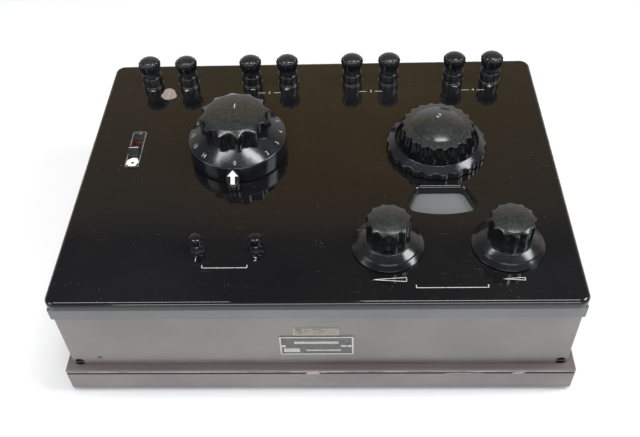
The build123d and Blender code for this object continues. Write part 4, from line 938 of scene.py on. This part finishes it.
def build_panel_marks():
    """Polarity signs and group marks: plain numbers, wedges and lines in place of words."""
    z = TOP + MARK_LIFT / 2
    xs = [middle_mm(node).x for node in CAPS]
    mark_y = middle_mm(CAPS[0]).y - 10.0
    sign, sign_w = 3.6, 0.55
    shapes = []
    for number in (0, 2, 6):
        shapes.append(bar(xs[number] + 1.0, mark_y, z, sign, sign_w))
        for turn in (0, 90):
            shapes.append(bar(xs[number + 1] - 1.0, mark_y, z, sign, sign_w, turn))
    group_y = mark_y - 4.6
    for pair in range(1, 4):
        x = (xs[2 * pair] + xs[2 * pair + 1]) / 2
        shapes.append(glyphs(str(pair + 1), 3.2, Matrix.Translation((x, group_y, z))))
        for side in (-1, 1):
            shapes.append(bar(x + side * 6.2, group_y, z, 6.0, 0.45))
    low_x, low_y = middle_mm("low_button").xy
    high_x = middle_mm("high_button").x
    label_y = low_y - 10.2
    for text, x in (("1", low_x), ("2", high_x)):
        shapes.append(glyphs(text, LABEL_H, Matrix.Translation((x, label_y, z))))
    shapes += bracket((low_x + high_x) / 2, label_y - 7.2, z, 30.0, 2.4)
    coarse_x, coarse_y = middle_mm("coarse_knob").xy
    fine_x = middle_mm("fine_knob").x
    label_y = coarse_y - 29.0
    shapes += wedge(coarse_x, label_y, z, 22.0, 3.4)
    shapes += wedge(fine_x, label_y, z, 14.0, 2.2)
    shapes += bracket((coarse_x + fine_x) / 2, label_y - 6.8, z, 46.0, 2.4)
    piece("panel_marks", joined(shapes), WHITE, "case")
    worn_x = (xs[0] + xs[1]) / 2
    blob("worn_spot", worn_x, group_y, TOP + 0.01, 6.2, 7.3, SPOT, 11)
    at = Matrix.Translation((worn_x, group_y, TOP + 0.07))
    piece("worn_spot_mark", glyphs("1", LABEL_H, at), WHITE, "case")


def bracket(x, y, z, length, depth):
    """Three-sided line that joins two controls."""
    line = [bar(x, y, z, length, LINE_W)]
    for side in (-1, 1):
        line.append(bar(x + side * length / 2, y + depth / 2, z, depth, LINE_W, 90))
    return line


def wedge(x, y, z, length, height):
    """Outlined wedge that opens to the right."""
    turn = degrees(atan2(height / 2, length))
    run = hypot(length, height / 2)
    lines = [bar(x, y + side * height / 4, z, run, WEDGE_LINE_W, side * turn) for side in (-1, 1)]
    return lines + [bar(x + length / 2, y, z, height + 0.4, WEDGE_LINE_W, 90)]


def build_dial_marks():
    """Numbers round the voltage dial, two of them nearly rubbed off, and one on each crown."""
    rim, cone = (DIAL_RIM_R, DIAL_RIM_H), (DIAL_CONE_R, DIAL_CONE_H)
    slope = atan2(cone[1] - rim[1], rim[0] - cone[0])
    fresh, rubbed = [], []
    for number in range(16):
        angle = radians(-90 + DIAL_SET + 22.5 * number)
        z = TOP + on_slope(rim, cone, DIAL_NUMERAL_R) + MARK_LIFT
        at = Matrix.Translation((V_X, V_Y, z)) @ Matrix.Rotation(angle + pi / 2, 4, "Z")
        at = at @ Matrix.Translation((0, -DIAL_NUMERAL_R, 0)) @ Matrix.Rotation(slope, 4, "X")
        shape = glyphs(str(number), NUMERAL_H, at @ Matrix.Diagonal((0.85, 1, 1, 1)))
        (rubbed if number in (1, 15) else fresh).append(shape)
    piece("dial_numbers", joined(fresh), WHITE, "voltage_dial")
    piece("rubbed_numbers", joined(rubbed), WORN, "voltage_dial")
    at = Matrix.Translation((V_X, V_Y + 4.8, TOP + DIAL_KNOB_H))
    piece("crown_mark", glyphs("1", 5.4, at), WHITE, "voltage_dial")
    place = (MV_X + 0.6, MV_Y + 4.4, TOP + MV_KNOB_H - MARK_LIFT)
    at = Matrix.Translation(place) @ Matrix.Rotation(radians(-35), 4, "Z")
    piece("knob_mark", glyphs("2", 4.6, at), WHITE, "millivolt_dial")


def build_scale():
    """Ivory ring with ticks and numbers, on the disc under the window."""
    low = high_mm("scale_disc").z
    top = low + 0.12
    inner_r, outer_r, tick_r, number_r = 36.0, 65.9, 61.0, 58.6
    ring = [(inner_r, low), (outer_r, low), (outer_r, top), (inner_r, top)]
    shape = moved(turned(ring, 180, ends=False), MV_X, MV_Y)
    piece("scale_face", shape, IVORY, "millivolt_dial")
    marks = []
    parts = 5
    step = 13.4 / parts
    first = -257.5
    middle = Matrix.Translation((MV_X, MV_Y, 0))
    for k in range(24 * parts + 1):
        angle = first + step * k
        long = 1.8 if k % parts else 3.2
        at = middle @ Matrix.Rotation(radians(angle), 4, "Z")
        marks.append(placed(bar(tick_r + long / 2, 0, top, long, 0.25), at))
        if k % parts == 0:
            at = middle @ Matrix.Rotation(radians(angle + 90), 4, "Z")
            marks.append(glyphs(str(k), 2.5, at @ Matrix.Translation((0, -number_r, top + 0.02))))
    piece("scale_marks", joined(marks), INK, "millivolt_dial")


def build_plates():
    """Bordered plate and worn strip on the front, both left blank."""
    low, high = low_mm("name_plates"), high_mm("name_plates")
    half_w = (high.x - low.x) / 2
    turn = Matrix.Rotation(pi / 2, 4, "X")
    upright = Matrix.Translation((0, low.y, low.z + PLATE_H / 2)) @ turn
    outline = rounded(half_w - PLATE_BORDER, PLATE_H / 2 - PLATE_BORDER, 0.4, 2)
    field = moved(flat_shape(outline, 0.06), z=-0.34)
    piece("plate_field", placed(field, upright), PLATE_FIELD, "case")
    pale = []
    for x, y, half_l, half_h in ((0, 3.4, 15.0, 1.3), (-17.0, -5.6, 5.5, 2.2), (4.5, -5.6, 12.0, 0.7),
                                 (18.5, -0.6, 2.0, 1.0)):
        patch = flat_shape(oblong(half_l, half_h), 0.04)
        pale.append(placed(moved(patch, x, y, -0.28), upright))
    piece("plate_fields", joined(pale), PLATE_PALE, "case")
    strip_low = low.z + PLATE_H + STRIP_GAP
    strip_half_h = (high.z - strip_low) / 2
    strip = flat_shape(oblong(STRIP_HALF_W, strip_half_h - STRIP_BORDER), 0.03)
    on_strip = Matrix.Translation((0, FRONT - 0.4, strip_low + strip_half_h)) @ turn
    piece("strip_face", placed(strip, on_strip), STRIP, "case")


def build_wear():
    """Chips in the base board's bead, and a knock in the case."""
    upright = Matrix.Rotation(pi / 2, 4, "X")
    chips = ((-3.4, -3.3, 5.2, 1.5), (139.0, -3.4, 4.4, 0.9), (101.0, -3.5, 14.0, 0.35),
             (4.0, -2.0, 2.0, 0.7))
    for number, (x, drop, half_w, half_h) in enumerate(chips, start=1):
        blob(f"base_chip_{number}", x, 0.15 - BASE_Y, BASE_TOP + drop, half_w, half_h, CHIP, number + 20,
             upright)
    blob("case_knock", -152.0, FRONT + 0.02, BASE_TOP + 9.0, 1.8, 1.4, INK, 31, upright)


# Stage

def build_stage():
    """Pale floor."""
    floor = bpy.data.meshes.new("floor")
    far = 6.0
    floor.from_pydata([(x, y, 0) for x, y in oblong(far, far)], [], [(0, 1, 2, 3)])
    s = Shader("studio_floor")
    tone = s.mix(s.noise(2.0, 2.0), (0.86, 0.86, 0.86), (0.84, 0.84, 0.845))
    floor.materials.append(s.finish(Base_Color=tone, Roughness=0.9))
    ground = bpy.data.objects.new("floor", floor)
    bpy.context.scene.collection.objects.link(ground)


def softbox(name, place, aim, width, height, power, colour=(1, 1, 1)):
    """Rectangular soft light at a place, in metres, turned to what it lights."""
    light = bpy.data.lights.new(name, "AREA")
    light.shape = "RECTANGLE"
    light.size, light.size_y = width, height
    light.energy = power
    light.color = colour
    made = bpy.data.objects.new(name, light)
    made.location = place
    made.rotation_mode = "QUATERNION"
    made.rotation_quaternion = (Vector(aim) - Vector(place)).to_track_quat("-Z", "Y")
    bpy.context.scene.collection.objects.link(made)
    return made


def sky_ramp(tree, angle, stops):
    """Colours over the angle from the horizon behind, over the top, to the horizon in front."""
    ramp = tree.nodes.new("ShaderNodeValToRGB")
    tree.links.new(angle, ramp.inputs["Fac"])
    elements = ramp.color_ramp.elements
    while len(elements) < len(stops):
        elements.new(0.5)
    for element, (at, colour) in zip(elements, stops):
        element.position = at / 180
        element.color = (*colour, 1)
    return ramp.outputs["Color"]


def sky_maths(tree, operation, a, b):
    made = tree.nodes.new("ShaderNodeMath")
    made.operation = operation
    for socket, value in zip(made.inputs, (a, b)):
        if isinstance(value, bpy.types.NodeSocket):
            tree.links.new(value, socket)
        else:
            socket.default_value = value
    return made.outputs[0]


def build_world():
    """Brown room behind the object, a dark ceiling and a pale room in front."""
    world = bpy.data.worlds.new("studio")
    bpy.context.scene.world = world
    world.use_nodes = True
    tree = world.node_tree
    place = tree.nodes.new("ShaderNodeTexCoord")
    split = tree.nodes.new("ShaderNodeSeparateXYZ")
    tree.links.new(place.outputs["Generated"], split.inputs[0])
    angle = sky_maths(tree, "ARCTAN2", split.outputs["Z"], split.outputs["Y"])
    angle = sky_maths(tree, "MULTIPLY", angle, 1 / pi)
    low = [(0, (0.8, 0.79, 0.77)), (24, (0.6, 0.56, 0.5))]
    ceiling = [
        (60, (0.13, 0.135, 0.145)),
        (120, (0.13, 0.14, 0.16)),
        (140, (0.3, 0.31, 0.33)),
        (180, (0.7, 0.7, 0.7)),
    ]
    angles = (35, 39, 44.9, 46.7, 48.4, 51)
    middle = (
        (0.46, 0.34, 0.17), (0.44, 0.3, 0.09), (0.36, 0.245, 0.1),
        (0.33, 0.235, 0.12), (0.13, 0.13, 0.12), (0.075, 0.075, 0.07),
    )
    sides = (
        (0.42, 0.34, 0.22), (0.38, 0.29, 0.16), (0.31, 0.25, 0.16),
        (0.27, 0.23, 0.17), (0.12, 0.12, 0.12), (0.14, 0.15, 0.165),
    )
    spread = tree.nodes.new("ShaderNodeMapRange")
    spread.interpolation_type = "SMOOTHSTEP"
    tree.links.new(sky_maths(tree, "ABSOLUTE", split.outputs["X"], 0.0), spread.inputs[0])
    spread.inputs[1].default_value = 0.05
    spread.inputs[2].default_value = 0.28
    mixed = tree.nodes.new("ShaderNodeMix")
    mixed.data_type = "RGBA"
    tree.links.new(spread.outputs[0], mixed.inputs[0])
    for socket, colours in ((6, middle), (7, sides)):
        stops = [*low, *zip(angles, colours), *ceiling]
        tree.links.new(sky_ramp(tree, angle, stops), mixed.inputs[socket])
    tree.links.new(mixed.outputs[2], tree.nodes["Background"].inputs["Color"])


def build_camera():
    """Camera at the photo's angle, from the fit of the panel's corners and controls."""
    camera = bpy.data.cameras.new("camera")
    camera.lens = 44.79
    camera.sensor_width = 36.0
    camera.clip_start = 0.01
    made = bpy.data.objects.new("camera", camera)
    right = Vector((0.9993, 0.0178, -0.0327))
    up = Vector((0.0094, 0.7300, 0.6834))
    back = Vector((0.0360, -0.6832, 0.7293))
    rotation = Matrix((right, up, back)).transposed()
    made.matrix_world = Matrix.Translation((0.0225, -0.4322, 0.5007)) @ rotation.to_4x4()
    bpy.context.scene.collection.objects.link(made)
    bpy.context.scene.camera = made
    bpy.context.scene.view_settings.view_transform = "Standard"


paint_nodes()
build_case()
build_panel()
build_voltage_dial()
build_millivolt_dial()
build_rheostat_knobs()
build_terminals()
build_keys()
build_leaves()
build_post()
build_switch()
build_panel_marks()
build_dial_marks()
build_scale()
build_plates()
build_wear()
build_stage()
build_world()
softbox("top_left_box", (-0.5, -0.02, 1.4), (-0.1, -0.02, 0.1), 0.16, 0.5, 3.5)
softbox("top_right_box", (0.3, -0.02, 1.4), (0.1, -0.02, 0.1), 0.16, 0.5, 4.5)
softbox("right_box", (1.05, -0.08, 1.1), (0, 0, 0.1), 0.5, 0.45, 10, (0.93, 0.97, 1.0))
softbox("left_box", (-1.2, -0.5, 0.95), (0, 0, 0.1), 0.6, 0.6, 5, (0.95, 0.98, 1.0))
fill_box = softbox("fill_box", (0, 0, 1.6), (0, 0, 0.1), 1.2, 1.2, 10)
fill_box.visible_glossy = False
softbox("front_box", (0.1, -1.7, 1.1), (0, 0, 0.05), 1.6, 0.5, 14)
build_camera()
